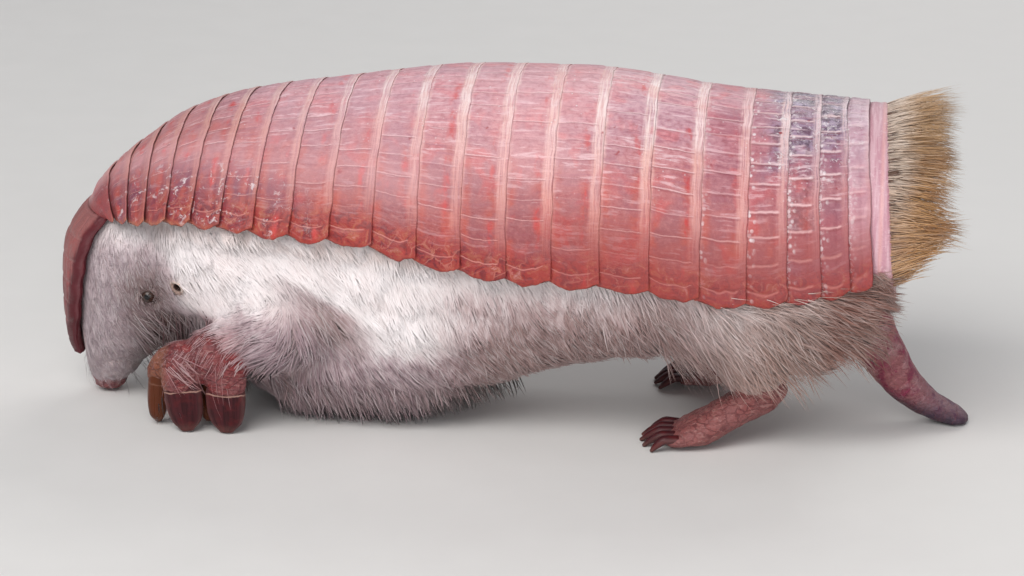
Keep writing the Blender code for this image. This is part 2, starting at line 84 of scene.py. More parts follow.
RIM_X, RIM_Z, RIM_TILT, GAP = 47.55, 22.0, 0.072, 0.3
PLATE_THICK, PLATE_Z, PLATE_HALF_Y, PLATE_UP, PLATE_DOWN = 2.1, 24.2, 15.9, 14.7, 8.6
HAIR_LENGTH, HAIR_END = 7.2, 108
FORELEG = [(-16.0, 10.4, 16.0, 4.6, 4.2), (-19.6, 13.2, 12.8, 4.5, 4.2), (-24.0, 13.9, 11.2, 3.9, 3.6), (-28.2, 13.9, 10.6, 3.2, 2.9)]
FORE_CLAWS = [(-36.7, 12.4, 6.9, 1.35, -37.3, 11.6), (-33.6, 14.5, 6.6, 2.45, -33.1, 14.7), (-28.3, 14.5, 6.3, 2.55, -28.3, 14.7), (-30.6, 12.3, 7.0, 1.2, -30.9, 10.6)]
HINDLEG = [(35.0, 9.6, 18.0, 7.0, 5.2), (33.6, 11.8, 14.0, 6.6, 5.0), (33.9, 11.6, 10.4, 4.8, 4.0), (35.0, 10.3, 7.9, 3.2, 2.9)]
HINDFOOT = [(37.0, 9.9, 7.1, 1.7, 1.6), (35.2, 10.0, 6.2, 2.5, 2.4), (31.6, 10.4, 4.0, 3.1, 2.0), (27.9, 10.9, 1.9, 3.9, 1.9), (25.8, 11.2, 1.4, 3.6, 1.3)]
HIND_CLAW = 4.6
TAIL = [(41.0, 0, 18.5, 3.0, 3.0), (45.6, 0, 14.4, 3.2, 3.2), (49.0, 0, 8.6, 2.9, 2.75), (52.0, 0, 4.5, 2.6, 2.25), (55.2, 0, 2.1, 2.6, 1.65), (57.8, 0, 1.0, 2.6, 1.2), (59.2, 0, 0.5, 1.7, 0.75)]


# --- small tools --------------------------------------------------------------------
def smooth(table, at):
    """Values of a table at many places, by a curve that never overshoots its rows."""
    rows = np.array(table, float)
    x, y = rows[:, 0], rows[:, 1:]
    step = np.diff(x)[:, None]
    slope = np.diff(y, axis=0) / step
    tangent = np.zeros_like(y)
    tangent[0], tangent[-1] = slope[0], slope[-1]
    if len(x) > 2:
        a, b, h0, h1 = slope[:-1], slope[1:], step[:-1], step[1:]
        with np.errstate(divide="ignore", invalid="ignore"):
            inner = 3 * (h0 + h1) / ((2 * h1 + h0) / a + (h1 + 2 * h0) / b)
        tangent[1:-1] = np.where(a * b > 0, inner, 0.0)
    at = np.clip(np.asarray(at, float), x[0], x[-1])
    k = np.clip(np.searchsorted(x, at, side="right") - 1, 0, len(x) - 2)
    h = step[k, 0][..., None]
    u = ((at - x[k]) / step[k, 0])[..., None]
    value = (2 * u**3 - 3 * u**2 + 1) * y[k] + (u**3 - 2 * u**2 + u) * h * tangent[k] + (3 * u**2 - 2 * u**3) * y[k + 1] + (u**3 - u**2) * h * tangent[k + 1]
    return value if y.shape[1] > 1 else value[..., 0]


def step_up(x, a, b):
    """0 below a, 1 above b, smooth between."""
    u = np.clip((np.asarray(x, float) - a) / (b - a), 0, 1)
    return u * u * (3 - 2 * u)


def unit(v):
    return v / np.maximum(np.linalg.norm(v, axis=-1, keepdims=True), 1e-12)


def noise(p, seed=0):
    """Smooth value noise of points, from -1 to 1."""
    p = np.asarray(p, float)
    i = np.floor(p).astype(np.int64)
    f = p - i
    f = f * f * (3 - 2 * f)

    def at(dx, dy, dz):
        n = ((i[..., 0] + dx) * 374761393 + (i[..., 1] + dy) * 668265263 + (i[..., 2] + dz) * 1440662683 + seed * 1274126177) & 0xFFFFFFFF
        n = ((n ^ (n >> 13)) * 1274126177) & 0xFFFFFFFF
        n = n ^ (n >> 16)
        return (n & 0xFFFF) / 32767.5 - 1

    def mix(a, b, u):
        return a + (b - a) * u

    x, y, z = f[..., 0], f[..., 1], f[..., 2]
    return mix(mix(mix(at(0, 0, 0), at(1, 0, 0), x), mix(at(0, 1, 0), at(1, 1, 0), x), y), mix(mix(at(0, 0, 1), at(1, 0, 1), x), mix(at(0, 1, 1), at(1, 1, 1), x), y), z)


def noise_1(x, seed=0):
    x = np.asarray(x, float)
    return noise(np.stack([x, x * 0 + 0.37, x * 0 + 0.71], -1), seed)


def make(name, points, faces, material, replaces=(), attributes=None, smooth_faces=True, uv=None):
    """A mesh object from design points in millimetres, riding on the body. faces is a list, or an array of equal faces."""
    points = np.asarray(points, np.float64) * MM
    points = points + np.array([SHIFT_X * MM, 0, 0])
    mesh = bpy.data.meshes.new(name)
    if isinstance(faces, np.ndarray):
        count, size = faces.shape
        mesh.vertices.add(len(points))
        mesh.vertices.foreach_set("co", points.astype(np.float32).ravel())
        mesh.loops.add(count * size)
        mesh.loops.foreach_set("vertex_index", faces.astype(np.int32).ravel())
        mesh.polygons.add(count)
        mesh.polygons.foreach_set("loop_start", np.arange(0, count * size, size, dtype=np.int32))
        mesh.polygons.foreach_set("loop_total", np.full(count, size, np.int32))
        mesh.update(calc_edges=True)
    else:
        mesh.from_pydata([tuple(p) for p in points], [], faces)
    mesh.validate()
    if smooth_faces:
        mesh.polygons.foreach_set("use_smooth", np.ones(len(mesh.polygons), bool))
    for key, values in (attributes or {}).items():
        values = np.asarray(values, np.float32)
        kind = "FLOAT" if values.ndim == 1 else "FLOAT_VECTOR"
        made = mesh.attributes.new(key, kind, "POINT")
        made.data.foreach_set("value" if kind == "FLOAT" else "vector", values.ravel())
    mesh.materials.append(material)
    piece = bpy.data.objects.new(name, mesh)
    bpy.context.scene.collection.objects.link(piece)
    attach(piece, "root")
    if replaces:
        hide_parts(*replaces)
    return piece


# --- node trees, written short ---------------------------------------------------------
class Tree:
    """A material's node tree. Numbers, colours and sockets can all be given as inputs."""

    def __init__(self, name):
        self.material = bpy.data.materials.new(name)
        self.material.use_nodes = True
        self.tree = self.material.node_tree
        self.shader = self.tree.nodes["Principled BSDF"]
        self.row = 0

    def put(self, socket, value):
        if isinstance(value, bpy.types.NodeSocket):
            self.tree.links.new(value, socket)
        elif isinstance(value, (tuple, list)) and len(value) == 3 and socket.type == "RGBA":
            socket.default_value = (*value, 1)
        else:
            socket.default_value = value

    def add(self, kind, **options):
        node = self.tree.nodes.new(kind)
        self.row += 1
        node.location = (-220 * (self.row % 40) - 300, -160 * (self.row // 40))
        for key, value in options.items():
            setattr(node, key, value)
        return node

    def math(self, operation, a, b=0.0, c=0.0, clamp=False):
        node = self.add("ShaderNodeMath", operation=operation, use_clamp=clamp)
        for socket, value in zip(node.inputs, (a, b, c)):
            self.put(socket, value)
        return node.outputs[0]

    def plus(self, a, b):
        return self.math("ADD", a, b)

    def minus(self, a, b):
        return self.math("SUBTRACT", a, b)

    def plus3(self, vector, value):
        node = self.add("ShaderNodeVectorMath", operation="ADD")
        self.put(node.inputs[0], vector)
        self.put(node.inputs[1], value)
        return node.outputs[0]

    def times(self, *values):
        out = values[0]
        for value in values[1:]:
            out = self.math("MULTIPLY", out, value)
        return out

    def span(self, value, a, b, low=0.0, high=1.0, soft=True):
        """Smooth step of value from a to b, mapped to low..high. a may lie above b."""
        node = self.add("ShaderNodeMapRange", interpolation_type="SMOOTHSTEP" if soft else "LINEAR", clamp=True)
        self.put(node.inputs["Value"], value)
        if a <= b:
            ends = (a, b, low, high)
        else:
            ends = (b, a, high, low)
        for key, end in zip(("From Min", "From Max", "To Min", "To Max"), ends):
            self.put(node.inputs[key], end)
        return node.outputs[0]

    def bump_at(self, value, centre, width):
        """1 at the centre, falling to 0 at width either side."""
        return self.span(self.math("ABSOLUTE", self.minus(value, centre)), width, 0.0)

    def mix(self, share, a, b, kind="MIX"):
        node = self.add("ShaderNodeMix", data_type="RGBA", blend_type=kind, clamp_factor=True)
        self.put(node.inputs[0], share)
        self.put(node.inputs[6], a)
        self.put(node.inputs[7], b)
        return node.outputs[2]

    def noise(self, vector, scale, detail=2.0, rough=0.5, distortion=0.0):
        node = self.add("ShaderNodeTexNoise")
        self.put(node.inputs["Vector"], vector)
        self.put(node.inputs["Scale"], scale)
        self.put(node.inputs["Detail"], detail)
        self.put(node.inputs["Roughness"], rough)
        self.put(node.inputs["Distortion"], distortion)
        return node.outputs["Fac"]

    def voronoi(self, vector, scale, feature="F1", output="Distance"):
        node = self.add("ShaderNodeTexVoronoi", feature=feature)
        self.put(node.inputs["Vector"], vector)
        self.put(node.inputs["Scale"], scale)
        return node.outputs[output]

    def white(self, vector):
        node = self.add("ShaderNodeTexWhiteNoise", noise_dimensions="3D")
        self.put(node.inputs["Vector"], vector)
        return node.outputs["Value"]

    def place(self):
        """Design coordinates of the point, in millimetres."""
        node = self.add("ShaderNodeTexCoord")
        scaled = self.add("ShaderNodeVectorMath", operation="MULTIPLY_ADD")
        self.put(scaled.inputs[0], node.outputs["Object"])
        scaled.inputs[1].default_value = (1000, 1000, 1000)
        scaled.inputs[2].default_value = (-SHIFT_X, 0, 0)
        return scaled.outputs[0]

    def split(self, vector):
        node = self.add("ShaderNodeSeparateXYZ")
        self.put(node.inputs[0], vector)
        return node.outputs[0], node.outputs[1], node.outputs[2]

    def join(self, x, y, z):
        node = self.add("ShaderNodeCombineXYZ")
        for socket, value in zip(node.inputs, (x, y, z)):
            self.put(socket, value)
        return node.outputs[0]

    def scaled(self, vector, x, y, z):
        node = self.add("ShaderNodeVectorMath", operation="MULTIPLY")
        self.put(node.inputs[0], vector)
        node.inputs[1].default_value = (x, y, z)
        return node.outputs[0]

    def attribute(self, name, output="Vector"):
        node = self.add("ShaderNodeAttribute", attribute_type="GEOMETRY", attribute_name=name)
        return node.outputs[output]

    def bump(self, height, distance, strength=1.0):
        node = self.add("ShaderNodeBump")
        self.put(node.inputs["Height"], height)
        node.inputs["Distance"].default_value = distance
        node.inputs["Strength"].default_value = strength
        self.tree.links.new(node.outputs[0], self.shader.inputs["Normal"])

    def finish(self, colour, rough, **constant):
        self.put(self.shader.inputs["Base Color"], colour)
        self.put(self.shader.inputs["Roughness"], rough)
        for key, value in constant.items():
            self.shader.inputs[key.replace("_", " ")].default_value = value
        return self.material


# --- camera, light and floor ---------------------------------------------------------------
AZ, EL, DISTANCE, FRAME_WIDTH = math.radians(7.0), math.radians(17.5), 0.380, 0.1241
towards = Vector((math.sin(AZ) * math.cos(EL), -math.cos(AZ) * math.cos(EL), math.sin(EL)))
target = Vector(((4.2 + SHIFT_X) * MM, 0, 0.0149))
camera = bpy.data.objects.new("camera", bpy.data.cameras.new("camera"))
camera.data.sensor_width = 36
camera.data.lens = 36 * DISTANCE / FRAME_WIDTH
camera.data.clip_start = 0.01
camera.location = target + towards * DISTANCE
camera.rotation_euler = towards.to_track_quat("Z", "Y").to_euler()
bpy.context.scene.collection.objects.link(camera)
bpy.context.scene.camera = camera


def lamp(name, place, aim, size, power, colour=(1, 1, 1)):
    data = bpy.data.lights.new(name, "AREA")
    data.shape = "RECTANGLE"
    data.size, data.size_y = size
    data.energy = power
    data.color = colour
    made = bpy.data.objects.new(name, data)
    made.location = place
    made.rotation_euler = (Vector(place) - Vector(aim)).to_track_quat("Z", "Y").to_euler()
    bpy.context.scene.collection.objects.link(made)


lamp("key", (-0.16, -0.42, 0.48), (0, 0, 0.02), (0.50, 0.40), 3.4, (1.0, 0.985, 0.965))
lamp("front", (0.28, -0.55, 0.16), (0, 0, 0.02), (0.50, 0.26), 1.1, (0.98, 0.985, 1.0))
lamp("back", (0.20, 0.50, 0.42), (0, 0, 0.03), (0.5, 0.4), 1.5, (1.0, 0.98, 0.96))
bpy.context.scene.view_settings.view_transform = "Standard"
world = bpy.data.worlds.new("studio")
bpy.context.scene.world = world
world.use_nodes = True
world.node_tree.nodes["Background"].inputs["Color"].default_value = (0.9, 0.93, 1.0, 1)
world.node_tree.nodes["Background"].inputs["Strength"].default_value = 0.24

tree = Tree("floor_pale")
spot = tree.place()
grain = tree.noise(spot, 0.12, 6, 0.6)
floor_material = tree.finish(tree.mix(grain, (0.74, 0.73, 0.715), (0.78, 0.77, 0.755)), tree.span(grain, 0.2, 0.8, 0.75, 0.9))
mesh = bpy.data.meshes.new("floor")
mesh.from_pydata([(x, y, 0) for x, y in ((-2.5, -2.5), (2.5, -2.5), (2.5, 2.5), (-2.5, 2.5))], [], [(0, 1, 2, 3)])
mesh.materials.append(floor_material)
floor = bpy.data.objects.new("floor", mesh)
bpy.context.scene.collection.objects.link(floor)

# --- carapace surface ------------------------------------------------------------------------
WIDTHS = [float(smooth(BAND_WIDTH, k)) for k in range(BANDS)]
EDGES_X = np.array([-45.6 + sum(WIDTHS[:k]) for k in range(BANDS + 1)])


def shell_at(middle, s, t, lift=0.0):
    """Point of the carapace whose half-way x is middle, at band coordinate s and place t across (-1 left edge, 1 right edge)."""
    middle, s, t, lift = np.broadcast_arrays(middle, s, t, lift)
    lean = smooth(BAND_LEAN, s)
    top_x, low_x = middle - lean / 2, middle + lean / 2
    top_z, low_z, half = smooth(BACK, top_x), smooth(EDGE, low_x), smooth(HALF, low_x)
    dx, dz = top_x - low_x, top_z - low_z
    rise = np.hypot(dx, dz)
    ux, uz = dx / rise, dz / rise
    sweep = 2 * np.arctan2(rise, half)
    radius = half / np.sin(sweep)
    a = sweep * t
    reach = (radius + lift) * np.cos(a) - radius
    return np.stack([top_x + ux * reach, (radius + lift) * np.sin(a), top_z + uz * reach], -1)


def shell_place(k, m, t, lift=0.0):
    """Point m millimetres behind the front edge of band k."""
    return shell_at(EDGES_X[k] + m, k + m / WIDTHS[k], t, lift)


def shell_frame(k, m, t):
    """Point and outward normal."""
    p = shell_place(k, m, t)
    along = shell_place(k, m + 0.3, t) - shell_place(k, m - 0.3, t)
    over = shell_place(k, m, t + 0.01) - shell_place(k, m, t - 0.01)
    n = unit(np.cross(along, over))
    out = p - np.stack([p[..., 0], p[..., 1] * 0, p[..., 2] * 0 + 18.0], -1)
    return p, np.where((n * out).sum(-1, keepdims=True) > 0, n, -n)


SCUTE = [(0, 2.0), (5, 2.2), (10, 2.45), (16, 2.6), (19, 3.0), (22, 3.2)]  # size of a scute across the back, by band
STEP = [(0, 0.20), (5, 0.18), (8, 0.12), (11, 0.07), (17, 0.08), (19, 0.17), (22, 0.20)]  # how far a band's front lies below the hind edge of the one ahead


def band_piece(k, material):
    width = WIDTHS[k]
    over = min(0.62, 0.16 * width) if k < BANDS - 1 else 0.26
    rear = width + over
    fore = -0.7 if k else 0.0
    inside = np.linspace(0.0, 1.0, 11 if width > 3.5 else 8)[1:-1]
    m_out = np.unique(np.round(np.concatenate([[fore, fore * 0.4, 0.0, 0.12, 0.3], 0.45 + (width - 1.35) * inside, [width - 0.95, width - 0.8, width - 0.6, width - 0.25, rear - 0.3, rear - 0.12]]), 3))
    m_in = np.array([rear - 0.15, width - 0.7, width * 0.55, 0.5, fore])
    arc_all = float(np.linalg.norm(np.diff(shell_place(k, width / 2, np.linspace(-1, 1, 200)), axis=0), axis=1).sum())
    arc = arc_all / 2  # millimetres for t from 0 to 1
    ends = np.array([0, 0.07, 0.18, 0.34, 0.55, 0.8]) / arc
    count = int(arc_all / 0.31)
    t_mid = np.linspace(-1 + 1.05 / arc, 1 - 1.05 / arc, count)
    t = np.concatenate([-1 + ends, t_mid, (1 - ends)[::-1]])
    tt = t[:, None]
    away = (1 - np.abs(tt)) * arc  # from the lower edge
    q_size = float(smooth(SCUTE, k))
    drift = float(noise_1(k * 3.7 + 0.5, 5)) * 0.35

    def mm_of(m):
        return np.asarray(m, float)

    def lobe(m):
        share = m / width
        shape = step_up(share, -0.15, 0.5) * (1 - step_up(share, 0.66, 1.22) * 1.25)
        ragged = 0.20 * noise(np.stack([mm_of(m) * 1.1, 0 * m + k * 4.7, 0 * m], -1), 12) + 0.08 * noise(np.stack([mm_of(m) * 2.9, 0 * m + k * 1.7, 0 * m], -1), 13)
        return (shape * (1 + 0.30 * float(noise_1(k * 1.9, 11))) * 0.80 + ragged) * min(1.0, width / 4.4)

    def place(m, lift):
        mm = m[None, :] + 0 * tt
        hang = 1 + lobe(mm) / arc * np.abs(tt) ** 5
        tv = tt * hang
        wave = 0.10 * noise(np.stack([tt * arc / 2.3 + 0 * mm, 0 * mm + k * 5.1, 0 * mm], -1), 3) + 0.05 * noise(np.stack([tt * arc / 0.8 + 0 * mm, 0 * mm + k * 2.3, 0 * mm], -1), 4)
        slack = step_up(mm, width - 1.4, width - 0.2)  # only the hind edge wanders
        p, n = shell_frame(k, mm + wave * slack, tv)
        return p, n, mm, tv, lift

    def step_of(m_grid):
        flank = step_up(np.abs(tt), 0.72, 1.0)
        return float(smooth(STEP, k)) * (1 + 0.25 * noise(np.stack([tt * arc / 3.0 + 0 * m_grid, 0 * m_grid + k * 7.7, 0 * m_grid], -1), 6)) + 0.10 * flank

    def top_lift(p, m_grid, q):
        step = step_of(m_grid)
        lift = -(step + 0.015) * (1 - step_up(m_grid, 0.15, 1.0)) - 0.35 * step_up(-m_grid, 0.0, 0.7)
        field = step_up(m_grid, 0.35, 0.8) * step_up(width - m_grid, 0.75, 1.05)
        near = np.abs(q - np.round(q)) * q_size
        dome = 1 - (2 * np.abs(q - np.floor(q) - 0.5)) ** 4
        lift = lift + field * (0.05 * dome - 0.07 * np.exp(-((near / 0.17) ** 2)))
        lift = lift - 0.06 * np.exp(-(((width - m_grid - 0.9) / 0.14) ** 2))
        lift = lift + 0.05 * step_up(m_grid, width - 0.2, width + 0.4)
        # shingle-like flare of the lower ends, and of the front bands
        flare = 0.22 * np.exp(-((away / 2.2) ** 2)) + 0.10 * (1 - step_up(k, 6, 11))
        lift = lift + flare * step_up(m_grid / width, 0.1, 1.0)
        # fine wrinkles
        lift = lift + 0.022 * noise(p * np.array([1.1, 2.6, 2.6]), 21) * field + 0.03 * noise(p * 0.5, 22)
        return lift

    # outer face
    p, n, mg, tv, _ = place(m_out, 0)
    edge_away = (1 - np.abs(tt)) * arc + lobe(mg) * (1 - np.abs(tt) ** 5) * 0
    q = (away - 1.7) / q_size + 0.10 * noise(np.stack([tt * 9 + 0 * mg, 0 * mg + k * 3.3, 0 * mg], -1), 31) + drift * step_up(away, 3, 12) + 0.05 * noise(p * 0.45, 32)
    lift = top_lift(p, mg, q)
    round_end = np.sqrt(np.clip(1 - (1 - np.clip(away / 0.55, 0, 1)) ** 2, 0, 1))
    step = step_of(mg)
    thick_rear = np.minimum(0.30, step * 0.85)
    thick = thick_rear + (0.85 - thick_rear) * step_up(width - mg, 0.1, 1.6) * step_up(mg, -0.2, 1.2)
    thick = thick * (0.55 + 0.45 * step_up(away, 0.3, 2.5))
    outer = p + n * (lift - thick * 0.5 * (1 - round_end))[..., None]
    # the hind edge is rounded over
    lip = step_up(mg, rear - 0.2, rear + 0.02)
    outer = outer - n * (lip * thick * 0.35)[..., None]
    p2, n2, mg2, tv2, _ = place(m_in, 0)
    q2 = (away - 1.7) / q_size + 0 * mg2
    step2 = step_of(mg2)
    thick_rear2 = np.minimum(0.30, step2 * 0.85)
    thick2 = thick_rear2 + (0.85 - thick_rear2) * step_up(width - mg2, 0.1, 1.6) * step_up(mg2, -0.2, 1.2)
    thick2 = thick2 * (0.55 + 0.45 * step_up(away, 0.3, 2.5))
    smooth_lift = -(step2 + 0.04) * (1 - step_up(mg2, 0.15, 1.0)) - 0.35 * step_up(-mg2, 0.0, 0.7) + (0.22 * np.exp(-((away / 2.2) ** 2)) + 0.10 * (1 - step_up(k, 6, 11))) * step_up(mg2 / width, 0.1, 1.0)
    inner = p2 + n2 * (smooth_lift - thick2 + thick2 * 0.5 * (1 - round_end))[..., None]
    ring = np.concatenate([outer, inner], axis=1)
    rows, cols = ring.shape[:2]
    m_all = np.concatenate([mg, mg2], 1)
    q_all = np.concatenate([q, q2], 1)
    away_all = np.broadcast_to(away, m_all.shape)
    under = np.concatenate([0 * mg, 0 * mg2 + 1], 1)
    index = np.arange(rows * cols).reshape(rows, cols)
    a, b = index[:-1], index[1:]
    faces = np.stack([a, b, np.roll(b, -1, 1), np.roll(a, -1, 1)], -1).reshape(-1, 4)
    face_list = faces.tolist() + [index[0].tolist(), index[-1][::-1].tolist()]
    piece = make(
        f"shell_band_{k + 1:02d}",
        ring.reshape(-1, 3),
        face_list,
        material,
        (f"band_{k + 1:02d}",),
        {
            "along": np.stack([m_all, width - m_all, np.full(m_all.shape, k + 0.0)], -1).reshape(-1, 3),
            "scute": np.stack([q_all, away_all, under], -1).reshape(-1, 3),
        },
    )
    turn_out(piece)
    return piece


def turn_out(piece):
    """Faces of a closed mesh turned to look outward."""
    work = bmesh.new()
    work.from_mesh(piece.data)
    bmesh.ops.recalc_face_normals(work, faces=work.faces)
    work.to_mesh(piece.data)
    work.free()


# --- shell material ---------------------------------------------------------------------------
def shell_material(name, plain=False):
    tree = Tree(name)
    spot = tree.place()
    x, y, z = tree.split(spot)
    m, r, k = tree.split(tree.attribute("along"))
    q, away, under = tree.split(tree.attribute("scute"))
    flow = tree.join(tree.times(m, 1.0), tree.times(q, 1.0), tree.times(k, 3.17))
    fine = tree.noise(spot, 1.6, 4, 0.6)
    broad = tree.noise(spot, 0.16, 3, 0.55)
    broad2 = tree.noise(tree.scaled(spot, 1, 1, 0.8), 0.33, 2, 0.5, 0.4)
    # one random number for each scute, and one for each line between two
    cell = tree.white(tree.join(tree.math("FLOOR", q), k, 1.5))
    line_no = tree.math("ROUND", q)
    line_random = tree.white(tree.join(line_no, k, 7.5))
    up = tree.span(away, 4.0, 25.0)  # 0 low on the flank, 1 towards the top of the back
    low = tree.span(away, 6.0, 1.0)
    front = tree.span(x, -22.0, -38.0)
    rear = tree.span(x, 24.0, 36.0)

    # scute field, paler towards the top of the back: partly the shell's own colour, partly painted light from above
    rose = tree.mix(up, (0.36, 0.085, 0.080), (0.66, 0.32, 0.36))
    mauve = tree.mix(up, (0.30, 0.090, 0.100), (0.58, 0.32, 0.38))
    hot = tree.mix(up, (0.48, 0.060, 0.052), (0.70, 0.25, 0.28))
    field = tree.mix(tree.span(broad, 0.42, 0.6), mauve, rose)
    field = tree.mix(tree.span(broad2, 0.52, 0.66, 0, 0.75), field, hot)
    field = tree.mix(tree.times(tree.span(cell, 0.55, 1.0), 0.35), field, mauve)
    field = tree.mix(tree.times(tree.span(fine, 0.45, 0.7), 0.40), field, tree.mix(up, (0.52, 0.22, 0.21), (0.80, 0.52, 0.54)))
    field = tree.mix(tree.times(tree.span(fine, 0.5, 0.3), 0.45), field, (0.34, 0.09, 0.10))
    # the front of the animal is duller and creamier high up, purple low down
    front_high = tree.times(front, tree.span(away, 3.5, 9.5))
    field = tree.mix(tree.times(front_high, 0.75), field, (0.57, 0.265, 0.27))
    purple_low = tree.times(tree.span(x, -14.0, -26.0), tree.span(away, 9.5, 5.0), tree.span(broad2, 0.35, 0.55))
    field = tree.mix(tree.times(purple_low, 0.85), field, (0.20, 0.065, 0.105))
    # bloody red along the lower scutes
    crimson = tree.mix(tree.span(broad2, 0.4, 0.62), (0.32, 0.030, 0.022), (0.16, 0.018, 0.030))
    field = tree.mix(tree.times(tree.span(away, 4.2, 1.2), tree.span(x, -34.0, -20.0), 0.85), field, crimson)
    # grey violet gloss on top of the rump
    torn = tree.times(tree.minus(tree.noise(spot, 0.42, 4, 0.65), 0.5), 1.0)
    violet = tree.times(tree.span(tree.plus(x, tree.times(torn, 5.0)), 33.5, 37.0), tree.span(tree.plus(away, tree.times(torn, 14.0)), 12.5, 18.5, 0.0, 1.0), tree.span(k, 21.2, 20.8))
    violet_depth = tree.span(away, 13.0, 21.0, 0.45, 0.95)
    field = tree.mix(tree.times(violet, violet_depth), field, tree.mix(tree.span(tree.noise(spot, 0.9, 4, 0.65, 0.5), 0.40, 0.58), (0.050, 0.045, 0.085), (0.36, 0.30, 0.42)))
    slate = tree.times(tree.span(k, 18.6, 19.2), tree.span(k, 21.2, 20.8), tree.span(tree.white(tree.join(tree.math("FLOOR", q), k, 4.5)), 0.50, 0.62), tree.span(away, 1.5, 3.0), tree.span(torn, -0.12, 0.06))
    field = tree.mix(tree.times(slate, 0.62), field, tree.mix(tree.span(fine, 0.4, 0.6), (0.085, 0.060, 0.085), (0.30, 0.21, 0.26)))
    rear_scutes = tree.times(tree.span(x, 26.0, 31.0), tree.span(k, 21.2, 20.8))
    field = tree.mix(tree.times(rear_scutes, tree.span(cell, 0.2, 0.9), 0.45), field, (0.30, 0.11, 0.17))
    # smooth lilac last band
    lilac = tree.mix(tree.span(away, 2.0, 8.0), (0.42, 0.10, 0.12), tree.mix(tree.span(tree.noise(tree.scaled(spot, 0.9, 0.3, 0.3), 1.0, 3), 0.4, 0.6), (0.64, 0.43, 0.52), (0.76, 0.56, 0.64)))
    field = tree.mix(tree.span(k, 20.8, 21.2), field, lilac)

    # cream strips: the soft hind margin of each band and the front of the next
    jitter = tree.times(tree.minus(tree.noise(tree.join(tree.times(q, 1.9), k, 3.0), 1.0, 3, 0.6), 0.5), 0.9)
    wide = tree.span(tree.plus(k, 0.0), 7.0, 10.5, 0.45, 1.0)
    wide = tree.times(wide, tree.span(k, 19.5, 17.0, 0.35, 1.0))
    behind = tree.span(tree.minus(tree.plus(r, jitter), tree.times(wide, 0.74)), 0.34, -0.30)
    ahead = tree.span(tree.minus(tree.plus(m, jitter), tree.times(wide, 0.60)), 0.40, -0.26)
    strip = tree.math("MAXIMUM", behind, ahead)
    grooves = tree.noise(tree.join(tree.times(m, 5.5), tree.times(q, 0.45), tree.times(k, 1.7)), 1.0, 3, 0.6)
    strip = tree.times(strip, tree.span(grooves, 0.34, 0.58, 0.22, 1.0))
    strip = tree.times(strip, tree.span(k, 21.3, 20.9), tree.span(k, 18.5, 19.5, 1.0, 0.7))
    cream = tree.mix(tree.span(away, 2.0, 15.0), (0.48, 0.18, 0.16), (0.76, 0.48, 0.45))
    cream = tree.mix(tree.span(away, 13.0, 22.0), cream, (0.97, 0.82, 0.80))
    cream = tree.mix(tree.times(tree.span(tree.noise(tree.join(tree.times(m, 9.0), tree.times(q, 0.8), k), 1.0, 2), 0.45, 0.65), 0.5), cream, (0.58, 0.24, 0.19))
    cream = tree.mix(tree.times(tree.span(broad, 0.5, 0.62), 0.4), cream, (0.76, 0.38, 0.31))
    cream = tree.mix(tree.times(tree.span(away, 5.5, 0.8), 0.85), cream, (0.42, 0.060, 0.035))
    cream = tree.mix(tree.times(tree.span(x, -12.0, -26.0), 0.45), cream, (0.52, 0.20, 0.15))
    cream = tree.mix(tree.times(tree.span(k, 16.5, 19.0), 0.6), cream, tree.mix(up, (0.40, 0.14, 0.15), (0.76, 0.52, 0.57)))
    strength = tree.times(strip, tree.span(tree.noise(tree.join(tree.times(q, 0.9), k, 9.0), 1.0, 2), 0.25, 0.5, 0.55, 0.95))
    # orange red stain beside the strips, fine wrinkles along the scutes
    stain = tree.times(tree.math("MAXIMUM", tree.bump_at(r, 1.1, 1.2), tree.bump_at(m, 1.0, 0.9)), tree.span(tree.noise(tree.join(tree.times(m, 0.4), tree.times(q, 0.9), tree.times(k, 1.3)), 1.0, 3, 0.6), 0.42, 0.60), tree.span(away, 19.0, 8.0), tree.span(k, 19.6, 18.4))
    field = tree.mix(tree.times(stain, 0.6), field, (0.50, 0.095, 0.060))
    furrow = tree.noise(tree.join(tree.times(m, 0.30), tree.times(q, 5.2), tree.times(k, 1.9)), 1.0, 4, 0.6, 0.25)
    high = tree.span(away, 7.0, 16.0, 0.30, 1.0)
    field = tree.mix(tree.times(tree.span(furrow, 0.54, 0.66), high, 0.55), field, (0.86, 0.66, 0.70))
    field = tree.mix(tree.times(tree.span(furrow, 0.46, 0.34), high, 0.50), field, (0.34, 0.115, 0.165))
    strength = tree.times(strength, tree.span(away, 1.0, 13.0, 0.55, 1.0))
    colour = tree.mix(strength, field, cream)
    # the lowest scutes: crimson with dark spots, brown orange stains and a net of pale creases
    lowest = tree.times(tree.span(tree.plus(away, tree.times(broad2, 2.0)), 5.4, 3.0), tree.span(x, -40.0, -34.0))
    mosaic = tree.noise(spot, 0.75, 3, 0.65, 0.9)
    raw = tree.mix(tree.span(mosaic, 0.40, 0.50), (0.13, 0.014, 0.022), (0.33, 0.035, 0.030))
    raw = tree.mix(tree.span(mosaic, 0.52, 0.62), raw, (0.40, 0.12, 0.060))
    raw = tree.mix(tree.span(mosaic, 0.62, 0.72), raw, (0.60, 0.29, 0.27))
    colour = tree.mix(tree.times(lowest, 0.62), colour, raw)
    crease = tree.span(tree.voronoi(tree.plus3(spot, tree.times(mosaic, 1.6)), 0.42, "DISTANCE_TO_EDGE"), 0.045, 0.010)
    colour = tree.mix(tree.times(crease, lowest, tree.span(broad2, 0.42, 0.6), 0.42), colour, (0.58, 0.26, 0.20))

